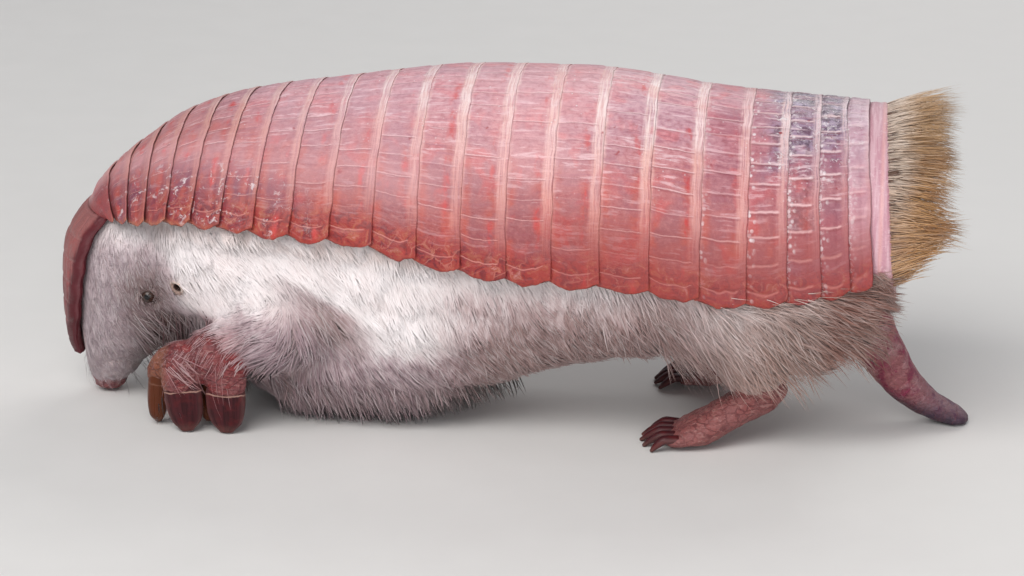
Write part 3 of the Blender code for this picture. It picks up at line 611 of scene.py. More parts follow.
    # red streaks at the hind side of the scutes
    streak = tree.times(tree.bump_at(r, 1.25, 0.75), tree.span(tree.noise(tree.join(tree.times(m, 0.5), tree.times(q, 0.75), tree.times(k, 2.3)), 1.0, 3, 0.65), 0.52, 0.68))
    colour = tree.mix(tree.times(streak, tree.span(x, 34.0, 28.0), 0.75), colour, (0.58, 0.045, 0.04))
    # blood specks
    specks = tree.span(tree.noise(spot, 0.75, 2, 0.4), 0.735, 0.79)
    colour = tree.mix(tree.times(specks, 0.85), colour, (0.30, 0.015, 0.02))

    # pale lines between scutes, some with painted shade on one side
    near = tree.times(tree.minus(q, line_no), 2.5)
    wobble = tree.times(tree.minus(tree.noise(spot, 1.1, 2), 0.5), 0.22)
    near = tree.plus(near, wobble)
    in_field = tree.times(tree.span(m, 0.35, 0.7), tree.span(r, 0.25, 0.6))
    clear = tree.math("MAXIMUM", tree.times(tree.span(line_random, 0.15, 0.75), 0.8), tree.times(rear, 0.9))
    near = tree.times(near, tree.span(rear, 0.0, 1.0, 1.0, 0.62))
    clear = tree.math("MAXIMUM", clear, tree.times(tree.bump_at(away, 1.9, 1.1), 0.9))
    line = tree.times(tree.bump_at(near, 0.0, 0.13), in_field, clear, tree.span(k, 21.2, 20.8))
    shade = tree.times(tree.bump_at(near, -0.16, 0.14), in_field, clear, tree.span(k, 21.2, 20.8), 0.55)
    colour = tree.mix(shade, colour, (0.24, 0.05, 0.06))
    pale = tree.mix(tree.span(away, 1.0, 12.0), (0.62, 0.25, 0.22), (0.84, 0.62, 0.63))
    colour = tree.mix(tree.times(line, 0.85), colour, pale)

    # more saturated towards the lower edge, painted light as a paler glow on the flank, duller at the rear shoulder
    colour = tree.mix(tree.times(tree.span(away, 17.0, 9.0), tree.span(x, -22.0, 0.0, 0.35, 1.0)), colour, tree.scaled(colour, 1.0, 0.87, 0.87))
    # painted light: a paler glow low on the front of the flank
    colour = tree.mix(tree.times(tree.span(x, 4.0, -10.0), tree.span(away, 3.5, 9.0), tree.minus(1.0, tree.times(tree.span(x, -22.0, -30.0), tree.span(away, 9.0, 13.0))), 0.24), colour, (0.86, 0.56, 0.62))
    colour = tree.mix(tree.times(tree.span(away, 9.5, 4.5), tree.span(x, 4.0, 16.0), 0.45), colour, (0.30, 0.055, 0.050))
    # painted light: a paler glow high on the middle of the flank
    colour = tree.mix(tree.times(tree.bump_at(x, 8.0, 14.0), tree.span(away, 9.0, 15.0), 0.30), colour, (0.90, 0.50, 0.51))
    colour = tree.mix(tree.times(tree.bump_at(x, 31.0, 7.0), tree.span(away, 9.0, 14.0), tree.span(k, 20.2, 19.8)), colour, tree.scaled(colour, 0.90, 0.74, 0.76))

    # white bead-like flakes along the front edge of the rear bands, and on the violet patch; painted glints higher up
    bead_place = tree.join(tree.times(m, 1.6), tree.times(q, 4.2), tree.times(k, 5.0))
    beads = tree.span(tree.voronoi(bead_place, 1.0), 0.46, 0.22)
    clusters = tree.span(tree.noise(tree.join(tree.times(q, 1.3), k, 4.0), 1.0, 2), 0.38, 0.56)
    beads = tree.times(beads, clusters, tree.bump_at(m, 0.85, 0.85), tree.span(k, 16.5, 17.5), tree.span(k, 21.2, 20.8), tree.span(away, 3.0, 7.0, 0.4, 1.0))
    flake = tree.times(tree.math("MAXIMUM", violet, tree.times(purple_low, 0.7)), tree.span(tree.noise(spot, 1.3, 4, 0.7, 0.8), 0.56, 0.66))
    crumbs = tree.times(tree.span(tree.noise(spot, 2.4, 3, 0.7), 0.50, 0.62), tree.span(m, 1.15, 0.25), tree.span(k, 18.0, 18.8), tree.span(k, 21.4, 21.1), tree.span(away, 3.0, 12.0, 0.35, 1.0))
    flake = tree.math("MAXIMUM", flake, crumbs)
    white = tree.math("MAXIMUM", tree.times(beads, 0.75), tree.times(flake, 0.85))
    # painted glints: small white highlights, more of them towards the top of the back
    glint = tree.times(tree.span(tree.voronoi(tree.scaled(spot, 1, 1, 1), 1.25), 0.17, 0.10), tree.span(broad, 0.5, 0.6), up, 0.7)
    white = tree.math("MAXIMUM", white, glint)
    colour = tree.mix(white, colour, (0.86, 0.78, 0.80))
    # painted shadow in the gaps between the last bands and ahead of each front band's edge
    gap = tree.times(tree.span(tree.plus(m, tree.times(tree.minus(tree.noise(tree.join(tree.times(q, 2.2), k, 1.0), 1.0, 3, 0.7), 0.5), 0.9)), 0.34, 0.12), tree.span(k, 18.6, 19.4))
    gap_front = tree.times(tree.span(m, 0.42, 0.1), tree.span(k, 9.0, 6.0), tree.span(away, 11.0, 6.0))
    gap_shadow = tree.math("MAXIMUM", tree.times(gap, 0.85), tree.times(gap_front, 0.45))
    colour = tree.mix(gap_shadow, colour, (0.10, 0.022, 0.030))
    # orange red rim of the lower lobes
    rim = tree.times(tree.span(away, 0.70, 0.12), tree.span(mosaic, 0.36, 0.56, 0.35, 1.0))
    colour = tree.mix(tree.times(rim, 0.7), colour, tree.mix(front, (0.36, 0.050, 0.034), (0.42, 0.15, 0.085)))
    # frontmost bands are crimson
    colour = tree.mix(tree.times(tree.span(tree.plus(x, tree.times(z, 0.25)), -34.5, -37.5), tree.span(away, 9.0, 4.0), 0.8), colour, tree.mix(fine, (0.22, 0.03, 0.035), (0.42, 0.10, 0.10)))
    # painted shade on the bands' inner faces, darkest under the front and rear bands
    colour = tree.mix(under, colour, tree.mix(tree.times(tree.span(k, 7.0, 9.0), tree.span(k, 19.5, 18.0)), (0.16, 0.05, 0.045), (0.46, 0.21, 0.18)))

    rough = tree.span(fine, 0.3, 0.7, 0.34, 0.52)
    rough = tree.math("SUBTRACT", rough, tree.times(violet, 0.12))
    wrinkle = tree.noise(tree.join(tree.times(m, 0.7), tree.times(q, 5.5), k), 1.0, 4, 0.65)
    grain = tree.noise(spot, 3.5, 3, 0.6)
    height = tree.plus(tree.plus(tree.times(wrinkle, 0.55), tree.times(grain, 0.35)), tree.times(line, -0.35))
    height = tree.plus(height, tree.times(white, 0.3))
    tree.bump(height, 0.00022, 0.7)
    return tree.finish(colour, rough, Coat_Weight=0.06, Coat_Roughness=0.3, Specular_IOR_Level=0.38, Subsurface_Weight=0.0)


shell_look = shell_material("shell_scutes")
for number in range(BANDS):
    band_piece(number, shell_look)


# --- lofts --------------------------------------------------------------------------------------
def loft(rings, first=None, last=None):
    """Closed mesh over rings of one count, with a point at each end."""
    rings = np.asarray(rings, float)
    rows, count = rings.shape[:2]
    first = rings[0].mean(0) if first is None else np.asarray(first, float)
    last = rings[-1].mean(0) if last is None else np.asarray(last, float)
    points = np.concatenate([rings.reshape(-1, 3), [first, last]])
    index = np.arange(rows * count).reshape(rows, count)
    a, b = index[:-1], index[1:]
    quads = np.stack([a, np.roll(a, -1, 1), np.roll(b, -1, 1), b], -1).reshape(-1, 4).tolist()
    top, end = index[0], index[-1]
    quads += [(int(top[j]), int(top[(j + 1) % count]), rows * count) for j in range(count)]
    quads += [(int(end[j]), int(end[(j + 1) % count]), rows * count + 1) for j in range(count)]
    return points, quads


def tube_rings(rows, rings, around, side=(1, 0, 0), grow=0.0, mirror=1, square=2.0):
    """Rings of a limb along rows of x, y, z, half width along the side axis, half thickness; also the path's places."""
    rows = np.array(rows, float)
    rows[:, 1] *= mirror
    run = np.concatenate([[0], np.cumsum(np.linalg.norm(np.diff(rows[:, :3], axis=0), axis=1))])
    stops = smooth(np.column_stack([run, rows]), np.linspace(0, run[-1], rings))
    ahead = unit(np.gradient(stops[:, :3], axis=0))
    across = np.tile(np.array(side, float) * np.array([1, mirror, 1]), (rings, 1))
    across = unit(across - ahead * (across * ahead).sum(-1, keepdims=True))
    out = np.cross(ahead, across)
    a = 2 * np.pi * np.arange(around) / around
    c, s = np.cos(a), np.sin(a)
    c, s = np.sign(c) * np.abs(c) ** (2 / square), np.sign(s) * np.abs(s) ** (2 / square)
    ring = stops[:, None, :3] + across[:, None] * ((stops[:, 3] + grow)[:, None] * c)[..., None] + out[:, None] * ((stops[:, 4] + grow)[:, None] * s)[..., None]
    return ring, stops, ahead


def limb(rows, rings, around, side=(1, 0, 0), grow=0.0, mirror=1, blunt=0.7, square=2.0):
    """A closed limb with rounded ends."""
    ring, stops, ahead = tube_rings(rows, rings, around, side, grow, mirror, square)
    caps_a, caps_b = [], []
    for share in (0.92, 0.7, 0.38):
        push = math.sqrt(1 - share * share)
        caps_a.append(stops[0, :3] + (ring[0] - stops[0, :3]) * share - ahead[0] * (stops[0, 4] + grow) * blunt * push)
        caps_b.append(stops[-1, :3] + (ring[-1] - stops[-1, :3]) * share + ahead[-1] * (stops[-1, 4] + grow) * blunt * push)
    full = np.concatenate([np.array(caps_a[::-1]), ring, np.array(caps_b)])
    return loft(full, stops[0, :3] - ahead[0] * (stops[0, 4] + grow) * blunt, stops[-1, :3] + ahead[-1] * (stops[-1, 4] + grow) * blunt)


def ball(centre, radii, rings=14, around=20):
    """A closed ellipsoid."""
    a = np.pi * np.arange(1, rings) / rings
    b = 2 * np.pi * np.arange(around) / around
    ring = np.stack([radii[0] * np.sin(a)[:, None] * np.cos(b), (radii[1] * np.cos(a))[:, None] + 0 * b, radii[2] * np.sin(a)[:, None] * np.sin(b)], -1) + np.array(centre)
    return loft(ring, np.array(centre) + [0, radii[1], 0], np.array(centre) - [0, radii[1], 0])


# --- the skin: one mesh of the body under the coat -----------------------------------------------------
COAT = 1.15  # depth of the coat on the flanks
FACE_COAT = 0.55


def body_rings(xs, grow):
    """Sections of the trunk and neck, the sheltered back a little below the shell and the flanks inside the coat."""
    rings = []
    for x, depth in zip(xs, grow):
        top, low, half = (float(smooth(table, x)) for table in (BACK, EDGE, HALF))
        rise = top - low
        sweep = 2 * math.atan2(rise, half)
        radius = half / math.sin(sweep)
        inner = radius - 1.9
        belly = float(smooth(BELLY, x))
        a = sweep * np.linspace(0, 1, 18)
        y, z = inner * np.sin(a), top - radius + inner * np.cos(a)
        v = np.linspace(0, 1, 19)[1:] * np.pi / 2
        y = np.concatenate([y, y[-1] * np.maximum(np.cos(v), 0) ** 0.62])
        z = np.concatenate([z, z[17] - (z[17] - belly) * np.sin(v) ** 1.05])
        middle = (z[0] + z[-1]) / 2
        away = np.maximum(np.hypot(y, z - middle), 1e-6)
        pull = depth * np.concatenate([np.linspace(0, 0.25, 18), np.linspace(0.3, 1, 18) ** 0.35])
        y, z = y - pull * y / away, z - pull * (z - middle) / away
        left = np.stack([np.full(len(y), x), -y, z], -1)
        right = left[1:-1][::-1] * [1, -1, 1]
        rings.append(np.concatenate([left, right]))
    return np.array(rings)


def head_rings(zs, grow, around=64):
    front, back, half = smooth(HEAD, zs).T
    length = back - front
    fore, aft = length * HEAD_WIDEST - grow * 0.4, length * (1 - HEAD_WIDEST) - grow
    middle = front + length * HEAD_WIDEST
    a = 2 * np.pi * np.arange(around) / around
    c, s = np.cos(a), np.sin(a)
    c, s = np.sign(c) * np.abs(c) ** 0.88, np.sign(s) * np.abs(s) ** 0.88
    reach = np.where(c > 0, fore[:, None], aft[:, None])
    return np.stack([middle[:, None] - reach * c, (half - grow)[:, None] * s, zs[:, None] + 0 * c], -1)


FINGERS = [  # palm to claw: rows of x, y, z, half width, half thickness
    [(-33.4, 13.0, 9.8, 1.7, 1.8), (-35.6, 12.9, 8.6, 1.6, 1.6), (-36.8, 12.4, 6.9, 1.5, 1.4), (-37.0, 12.2, 5.9, 1.35, 1.2)],
    [(-31.8, 14.2, 10.6, 2.2, 1.9), (-33.0, 14.7, 9.0, 2.5, 1.8), (-33.6, 14.8, 7.0, 2.6, 1.6), (-33.5, 14.8, 5.7, 2.4, 1.35)],
    [(-28.6, 14.2, 10.4, 2.3, 1.9), (-28.5, 14.8, 9.0, 2.6, 1.8), (-28.3, 14.9, 7.0, 2.7, 1.6), (-28.3, 14.9, 5.6, 2.5, 1.35)],
    [(-30.4, 13.0, 9.2, 1.6, 1.5), (-30.5, 12.5, 7.8, 1.4, 1.4), (-30.6, 12.2, 6.6, 1.3, 1.2)],
]
PALM = [(-26.0, 13.9, 11.5, 2.5, 2.2), (-28.2, 14.1, 10.7, 3.3, 2.3), (-30.2, 14.2, 9.6, 4.4, 2.2), (-31.2, 14.2, 8.6, 4.7, 1.9)]


def skin_mesh():
    """(points, quads) of the joined lofts, in millimetres, before they are merged into one surface."""
    points, faces = [], []

    def take(part):
        base = sum(len(p) for p in points)
        points.append(np.asarray(part[0]))
        faces.extend([tuple(base + v for v in f) for f in part[1]])

    xs = np.concatenate([np.linspace(-36.6, 44.6, 120), [44.9, 45.2]])
    grow = np.interp(xs, [-37, -30, -24, 36, 42, 45.2], [FACE_COAT, 0.9, COAT, COAT, 0.7, 0.7])
    rings = body_rings(xs, grow)
    for k, share in ((-1, 0.80), (-2, 0.93)):
        centre = rings[k].mean(0)
        rings[k] = centre + (rings[k] - centre) * share
    take(loft(rings))
    zs = np.linspace(2.35, 30.4, 60)
    take(loft(head_rings(zs, np.interp(zs, [2.3, 5, 12], [0.1, 0.35, FACE_COAT]))))
    # muzzle and nose pad
    take(limb([(-45.6, 0, 6.0, 3.4, 2.6), (-45.9, 0, 3.6, 2.9, 2.4), (-46.0, 0, 1.9, 2.45, 2.1), (-46.0, 0, 0.95, 2.3, 1.95)], 12, 28, (0, 1, 0), 0, 1, 0.42, 2.3))
    for mirror in (-1, 1):
        leg = [(x, y, z, a - c, b - c) for (x, y, z, a, b), c in zip(FORELEG, (1.0, 0.95, 0.8, 0.35))]
        take(limb(leg, 24, 28, (0, 0, 1), 0, mirror, 0.6))
        take(limb(PALM, 14, 28, (1, 0, 0.25), 0, mirror, 0.6, 2.3))
        for finger in FINGERS:
            take(limb(finger, 12, 20, (1, 0, 0), 0, mirror, 0.5, 2.3))
        leg = [(x, y, z, a - c, b - c) for (x, y, z, a, b), c in zip(HINDLEG, (1.0, 0.9, 0.6, 0.2))]
        take(limb(leg, 20, 28, (1, 0, 0), 0, mirror, 0.6))
        take(limb(HINDFOOT, 22, 24, (0, 1, 0), -0.05, mirror, 0.7, 2.2))
        for number in range(5):
            share = number / 4 * 2 - 1
            y = 11.2 + share * 2.9
            take(limb([(28.6, y - share * 0.4, 1.9, 0.95, 0.9), (26.6, y, 1.35, 0.85, 0.8), (24.6, y + share * 0.2, 1.15, 0.8, 0.72)], 8, 14, (0, 1, 0), 0, mirror, 0.8))
    take(limb(TAIL, 40, 28, (0, 1, 0), -0.02, 1, 0.7))
    return np.concatenate(points), faces


def remeshed(points, faces, size):
    """The union of overlapping closed parts as one closed surface of small quads."""
    mesh = bpy.data.meshes.new("skin_parts")
    mesh.from_pydata(points.tolist(), [], faces)
    work = bmesh.new()
    work.from_mesh(mesh)
    bmesh.ops.recalc_face_normals(work, faces=work.faces)
    work.to_mesh(mesh)
    work.free()
    holder = bpy.data.objects.new("skin_parts", mesh)
    bpy.context.scene.collection.objects.link(holder)
    modifier = holder.modifiers.new("merge", "REMESH")
    modifier.mode = "VOXEL"
    modifier.voxel_size = size
    graph = bpy.context.evaluated_depsgraph_get()
    merged = bpy.data.meshes.new_from_object(holder.evaluated_get(graph))
    bpy.data.objects.remove(holder)
    return merged


def mesh_arrays(mesh):
    co = np.empty(len(mesh.vertices) * 3, np.float32)
    mesh.vertices.foreach_get("co", co)
    edges = np.empty(len(mesh.edges) * 2, np.int32)
    mesh.edges.foreach_get("vertices", edges)
    normal = np.empty(len(mesh.vertices) * 3, np.float32)
    mesh.vertex_normals.foreach_get("vector", normal)
    return co.reshape(-1, 3).astype(float), edges.reshape(-1, 2), normal.reshape(-1, 3).astype(float)


def relax(co, edges, weight, rounds):
    """Laplacian smoothing by a weight per point."""
    edges = edges[(weight[edges] > 0).any(1)]
    count = np.bincount(edges.ravel(), minlength=len(co)).astype(float)[:, None]
    for _ in range(rounds):
        total = np.zeros_like(co)
        for c in range(3):
            total[:, c] = np.bincount(edges[:, 0], co[edges[:, 1], c], len(co)) + np.bincount(edges[:, 1], co[edges[:, 0], c], len(co))
        co = co + weight[:, None] * (total / np.maximum(count, 1) - co)
    return co


def near_path(p, rows, mirror):
    """(distance from a limb's path in units of its size, share along it) for many points."""
    rows = np.array(rows, float)
    rows[:, 1] *= mirror
    run = np.concatenate([[0], np.cumsum(np.linalg.norm(np.diff(rows[:, :3], axis=0), axis=1))])
    stops = smooth(np.column_stack([run, rows]), np.linspace(0, run[-1], 25))
    best, where = np.full(len(p), 1e9), np.zeros(len(p))
    for i, row in enumerate(stops):
        size = max(row[3], row[4])
        d = np.linalg.norm(p - row[:3], axis=1) / size
        closer = d < best
        best[closer], where[closer] = d[closer], i / 24
    return best, where


def bare_share(p):
    """How bare the skin is, 1 on the feet, tail, nose and ear, 0 in the fur; and the share along the tail."""
    bare = np.zeros(len(p))
    tail_near, tail_at = near_path(p, TAIL, 1)
    tail = step_up(1.45 - tail_near, 0, 0.25) * step_up(tail_at, 0.12, 0.26)
    bare = np.maximum(bare, tail)
    for mirror in (-1, 1):
        fore, at = near_path(p, PALM, mirror)
        bare = np.maximum(bare, step_up(1.5 - fore, 0, 0.2) * step_up(p[:, 0] * -1 - p[:, 2] * 1.375 + 0.7 * noise(p * 0.5, 48), 10.6, 12.4) * step_up(-p[:, 0], 22.4, 23.6) * (np.abs(p[:, 1]) > 10.5))
        for finger in FINGERS:
            near, at = near_path(p, finger, mirror)
            bare = np.maximum(bare, step_up(1.6 - near, 0, 0.2) * step_up(-p[:, 2], -9.9, -8.6))
        hind, at = near_path(p, HINDFOOT, mirror)
        limit = np.interp(p[:, 0], [26, 30, 33.5, 40], [8.0, 7.4, 9.6, 9.4])
        bare = np.maximum(bare, step_up(1.7 - hind, 0, 0.3) * step_up(limit + 0.5 * noise(p * 0.6, 49) - p[:, 2], 0, 1.2))
        ear = np.linalg.norm((p - np.array([EAR[0], EAR[1] * -mirror, EAR[2]])) * [1, 0.6, 0.85], axis=1)
        bare = np.maximum(bare, step_up(1.05 - ear, 0, 0.3))
    nose = np.linalg.norm((p - np.array([-46.0, 0, 1.0])) * [1, 0.9, 1.1], axis=1)
    bare = np.maximum(bare, step_up(3.1 - nose + 0.35 * noise(p * 1.6, 47), 0, 1.3))
    return bare, tail, tail_at


def build_skin():
    merged = remeshed(*skin_mesh(), 0.42)
    co, edges, normal = mesh_arrays(merged)
    # joints between limbs and body flow together, fingers and toes less so
    ends = np.maximum.reduce([step_up(9.0 - co[:, 2], 0, 2) * (np.abs(co[:, 1]) > 7.5), step_up(co[:, 0], 46, 48), step_up(5 - co[:, 2], 0, 2) * (co[:, 0] < -40)])
    co = relax(co, edges, 0.55 - 0.42 * ends, 9)
    # the arm flows into the shoulder
    shoulder = step_up(co[:, 0], -29, -25) * step_up(-co[:, 0], 5, 10) * step_up(co[:, 2], 9.5, 12.5) * step_up(22 - co[:, 2], 0, 4) * (np.abs(co[:, 1]) > 6)
    co = relax(co, edges, 0.6 * shoulder, 36)
    # the thigh flows into the flank
    thigh = step_up(co[:, 0], 22, 25) * step_up(-co[:, 0], -43, -41) * step_up(co[:, 2], 10.0, 12.5) * step_up(21 - co[:, 2], 0, 3) * (np.abs(co[:, 1]) > 5)
    co = relax(co, edges, 0.62 * thigh, 80)
    # the cheek flows into the neck
    nape = step_up(co[:, 0], -42.5, -38.5) * step_up(-co[:, 0], 28, 32) * step_up(co[:, 2], 9.5, 13) * (np.abs(co[:, 1]) > 3)
    co = relax(co, edges, 0.62 * nape, 90)
    merged.vertices.foreach_set("co", co.astype(np.float32).ravel())
    # finer mesh round the eyes, ears and nose
    work = bmesh.new()
    work.from_mesh(merged)
    spots = [(Vector((EYE[0], EYE[1] * s, EYE[2])), 2.4) for s in (1, -1)] + [(Vector((EAR[0], EAR[1] * s, EAR[2])), 2.6) for s in (1, -1)] + [(Vector((-47.6, 0, 1.2)), 2.6)]
    for _ in range(2):
        chosen = [e for e in work.edges if any((e.verts[0].co - c).length < r and (e.verts[1].co - c).length < r for c, r in spots)]
        bmesh.ops.subdivide_edges(work, edges=chosen, cuts=1, use_grid_fill=True)
        bmesh.ops.triangulate(work, faces=[f for f in work.faces if len(f.verts) > 4])
        spots = [(c, r - 0.6) for c, r in spots]
    work.normal_update()
    work.to_mesh(merged)
    work.free()
    merged.update()
    co, edges, normal = mesh_arrays(merged)
    move = np.zeros(len(co))
    for side in (1, -1):
        # eye opening with upper and lower lid
        d = co - np.array([EYE[0], EYE[1] * side, EYE[2]])
        close = np.abs(d[:, 1]) < 3
        u, w = d[:, 0] * 0.94 + d[:, 2] * 0.34, d[:, 2] * 0.94 - d[:, 0] * 0.34
        oval = np.hypot(u / 0.80, w / (0.50 + 0.06 * np.cos(u * 1.8)))
        hollow = -0.22 * np.exp(-((np.hypot(u, w) / 2.2) ** 2))
        lid = 0.20 * np.exp(-(((oval - 1.38) / 0.36) ** 2))
        open_eye = -0.9 * (1 - step_up(oval, 0.72, 1.06))
        fold = -0.08 * np.exp(-(((oval - 2.3) / 0.25) ** 2)) * (w > 0)
        move += close * (hollow + lid + open_eye + fold)
        # ear: a pit with a soft flap behind and above
        d = co - np.array([EAR[0], EAR[1] * side, EAR[2]])
        close = np.abs(d[:, 1]) < 3.2
        radius = np.hypot(d[:, 0] / 0.9, d[:, 2] / 1.1)
        turn = np.arctan2(d[:, 2], d[:, 0])
        flap = 0.34 * np.exp(-(((radius - 0.80) / 0.20) ** 2)) * (0.25 + 0.75 * step_up(np.cos(turn - 0.6), -0.6, 0.5))
        pit = -1.2 * (1 - step_up(radius, 0.28, 0.62))
        move += close * (flap + pit)
    # nostrils, and the groove between them
    for side in (1, -1):
        d = np.linalg.norm((co - np.array([-47.9, 0.95 * side, 1.5])) * [0.8, 1, 1.1], axis=1)
        move += -0.45 * np.exp(-((d / 0.42) ** 2)) + 0.12 * np.exp(-(((d - 0.75) / 0.25) ** 2))
    move += -0.10 * np.exp(-((co[:, 1] / 0.18) ** 2)) * step_up(-co[:, 0], 46.8, 47.6) * step_up(3.4 - co[:, 2], 0, 0.8)
    # mouth slit on the throat side of the muzzle
    move += -0.28 * np.exp(-(((co[:, 2] - 3.9 - 0.06 * co[:, 1] ** 2) / 0.3) ** 2)) * step_up(co[:, 0], -46.0, -44.6) * step_up(-co[:, 0], 38, 41) * (np.abs(co[:, 1]) < 5)
    bare, tail, tail_at = bare_share(co)
    # creases of the tail, fingers and toes, and loose skin elsewhere
    along_tail = tail_at * 30
    move += tail * (0.07 * np.sin(along_tail * 5.2 + 1.5 * noise(co * 0.7, 41)) + 0.08 * noise(co * 1.2, 42))
    ridges = np.abs(noise(co * np.array([0.9, 0.9, 1.5]), 43))
    move += bare * (1 - tail) * (0.14 * (ridges - 0.3) + 0.07 * noise(co * 2.2, 44)) * step_up(co[:, 0], -43, -41)
    move += (1 - bare) * (0.16 * noise(co * 0.35, 45) + 0.06 * noise(co * 1.1, 46)) * (1 - step_up(-co[:, 0], 36, 40) * 0.6)
    # fold behind the cheek and at the elbow
    cheek = np.exp(-(((co[:, 0] + 33.2 + (co[:, 2] - 13) * 0.25) / 1.3) ** 2)) * step_up(15.5 - co[:, 2], 0, 4) * (np.abs(co[:, 1]) > 3)
    elbow = np.exp(-(((co[:, 0] + 16.5 - (co[:, 2] - 12) * 0.9) / 1.5) ** 2)) * step_up(co[:, 2], 4, 8) * step_up(16 - co[:, 2], 0, 3) * (np.abs(co[:, 1]) > 8)
    move -= 0.5 * cheek + 0.55 * elbow
    under_shell = co[:, 2] > smooth(EDGE, co[:, 0]) + 1.5
    move = np.where(under_shell & (co[:, 0] > -40), np.minimum(move, 0.05), move)
    co = co + normal * move[:, None]
    co[:, 2] = np.maximum(co[:, 2], 0.02)
    return merged, co, bare, tail, tail_at


# --- colour shared by skin and coat -----------------------------------------------------------------------
def coat_colour(tree, spot):
    """The coat's colour at a place: white, warmer below the shell, grey round the eye, beige at the hind end; painted
    shade in the folds and on the lower coat, reddened in the shade.
    """
    x, y, z = tree.split(spot)
    side = tree.math("ABSOLUTE", y)
    broad = tree.noise(spot, 0.22, 3, 0.55)
    patch = tree.noise(tree.scaled(spot, 1, 1, 0.7), 0.55, 2, 0.5)
    colour = tree.mix(tree.span(broad, 0.35, 0.65), (0.93, 0.865, 0.855), (0.965, 0.925, 0.92))
    locks = tree.noise(tree.scaled(spot, 0.8, 0.8, 0.42), 1.0, 3, 0.6)
    colour = tree.mix(tree.span(locks, 0.44, 0.30, 0.0, 0.22), colour, (0.74, 0.62, 0.59))
    edge = tree.span(x, -40.0, 40.0, 25.0, 21.0, soft=False)
    below = tree.minus(edge, z)
    tint = tree.times(tree.span(tree.plus(below, tree.times(patch, 2.5)), 3.4, 1.3), tree.span(x, -47.0, -38.0, 0.4, 1.0))
    colour = tree.mix(tree.times(tint, tree.span(patch, 0.35, 0.6, 0.12, 0.5)), colour, tree.mix(tree.span(x, -30.0, 20.0), (0.86, 0.70, 0.64), (0.76, 0.60, 0.52)))
    # grey face with a dark ring round the eye
    face = tree.times(tree.span(x, -33.0, -38.0), tree.span(z, 25.0, 19.0))
    streaks = tree.noise(tree.scaled(spot, 1.7, 1.7, 0.42), 0.8, 3, 0.55)
    colour = tree.mix(tree.times(face, tree.span(streaks, 0.32, 0.62, 0.70, 0.98)), colour, (0.36, 0.33, 0.345))
    colour = tree.mix(tree.times(face, tree.span(x, -45.5, -40.5), tree.span(z, 22.0, 15.0), 0.75), colour, (0.27, 0.235, 0.24))
    near_eye = tree.math("SQRT", tree.plus(tree.math("POWER", tree.minus(x, EYE[0] + 0.1), 2.0), tree.math("POWER", tree.times(tree.minus(z, EYE[2] - 0.9), 0.62), 2.0)))
    colour = tree.mix(tree.times(tree.span(tree.plus(near_eye, tree.times(tree.minus(patch, 0.5), 3.0)), 5.0, 1.0), tree.span(side, 5.0, 7.0), 0.85), colour, (0.15, 0.105, 0.10))
    # painted shadow at the throat and behind the cheek
    throat = tree.times(tree.span(tree.plus(x, tree.times(tree.minus(13.0, z), 0.35)), -40.0, -36.5), tree.span(x, -31.0, -34.2), tree.span(z, 14.4, 11.5))
    colour = tree.mix(tree.times(throat, 0.92), colour, (0.078, 0.034, 0.030))
    # painted shade: grey brown in the crook of the arm, under the arm and along the belly
    elbow = tree.times(tree.bump_at(tree.minus(x, tree.times(tree.minus(z, 12.0), 1.1)), -19.5, 5.5), tree.bump_at(z, 12.5, 4.5), tree.span(side, 8.0, 11.0))
    colour = tree.mix(tree.times(elbow, 0.75), colour, (0.32, 0.235, 0.21))
    crook = tree.plus(tree.minus(z, 14.6), tree.times(tree.plus(x, 15.5), 0.56))
    crook = tree.times(tree.span(crook, 3.5, 1.3), tree.span(crook, -6.5, -2.5), tree.bump_at(x, -15.8, 8.5), tree.span(side, 8.0, 11.0))
    colour = tree.mix(tree.times(crook, tree.span(streaks, 0.3, 0.6, 0.74, 0.97)), colour, (0.24, 0.18, 0.17))
    inner_arm = tree.times(tree.bump_at(x, -19.5, 4.0), tree.bump_at(z, 13.8, 3.4), tree.span(side, 8.0, 11.0))
    colour = tree.mix(tree.times(inner_arm, 0.70), colour, (0.30, 0.24, 0.25))
    fore = tree.times(tree.span(x, -15.0, -20.0), tree.span(z, 15.0, 12.0), tree.span(side, 8.0, 11.0))
    colour = tree.mix(tree.times(fore, tree.span(patch, 0.35, 0.6, 0.55, 0.95)), colour, (0.27, 0.215, 0.235))
    # painted shade below the arm
    colour = tree.mix(tree.times(tree.span(x, -18.0, -22.0), tree.span(x, -36.0, -32.0), tree.span(z, 9.5, 7.0), 0.8), colour, (0.26, 0.17, 0.12))
    # painted shade along the belly and low on the middle flank
    belly = tree.times(tree.math("MAXIMUM", tree.span(z, 9.0, 3.0), tree.times(tree.span(z, 15.0, 10.5), tree.span(x, -3.0, 8.0))), tree.span(x, -36.0, -32.0))
    colour = tree.mix(tree.times(belly, 0.85), colour, tree.mix(broad, (0.24, 0.165, 0.135), (0.38, 0.285, 0.25)))
    hind = tree.span(x, 15.0, 27.0)
    colour = tree.mix(tree.times(hind, tree.span(patch, 0.3, 0.7, 0.45, 0.85)), colour, tree.mix(tree.span(x, 33.0, 41.0), (0.50, 0.40, 0.36), (0.33, 0.24, 0.20)))
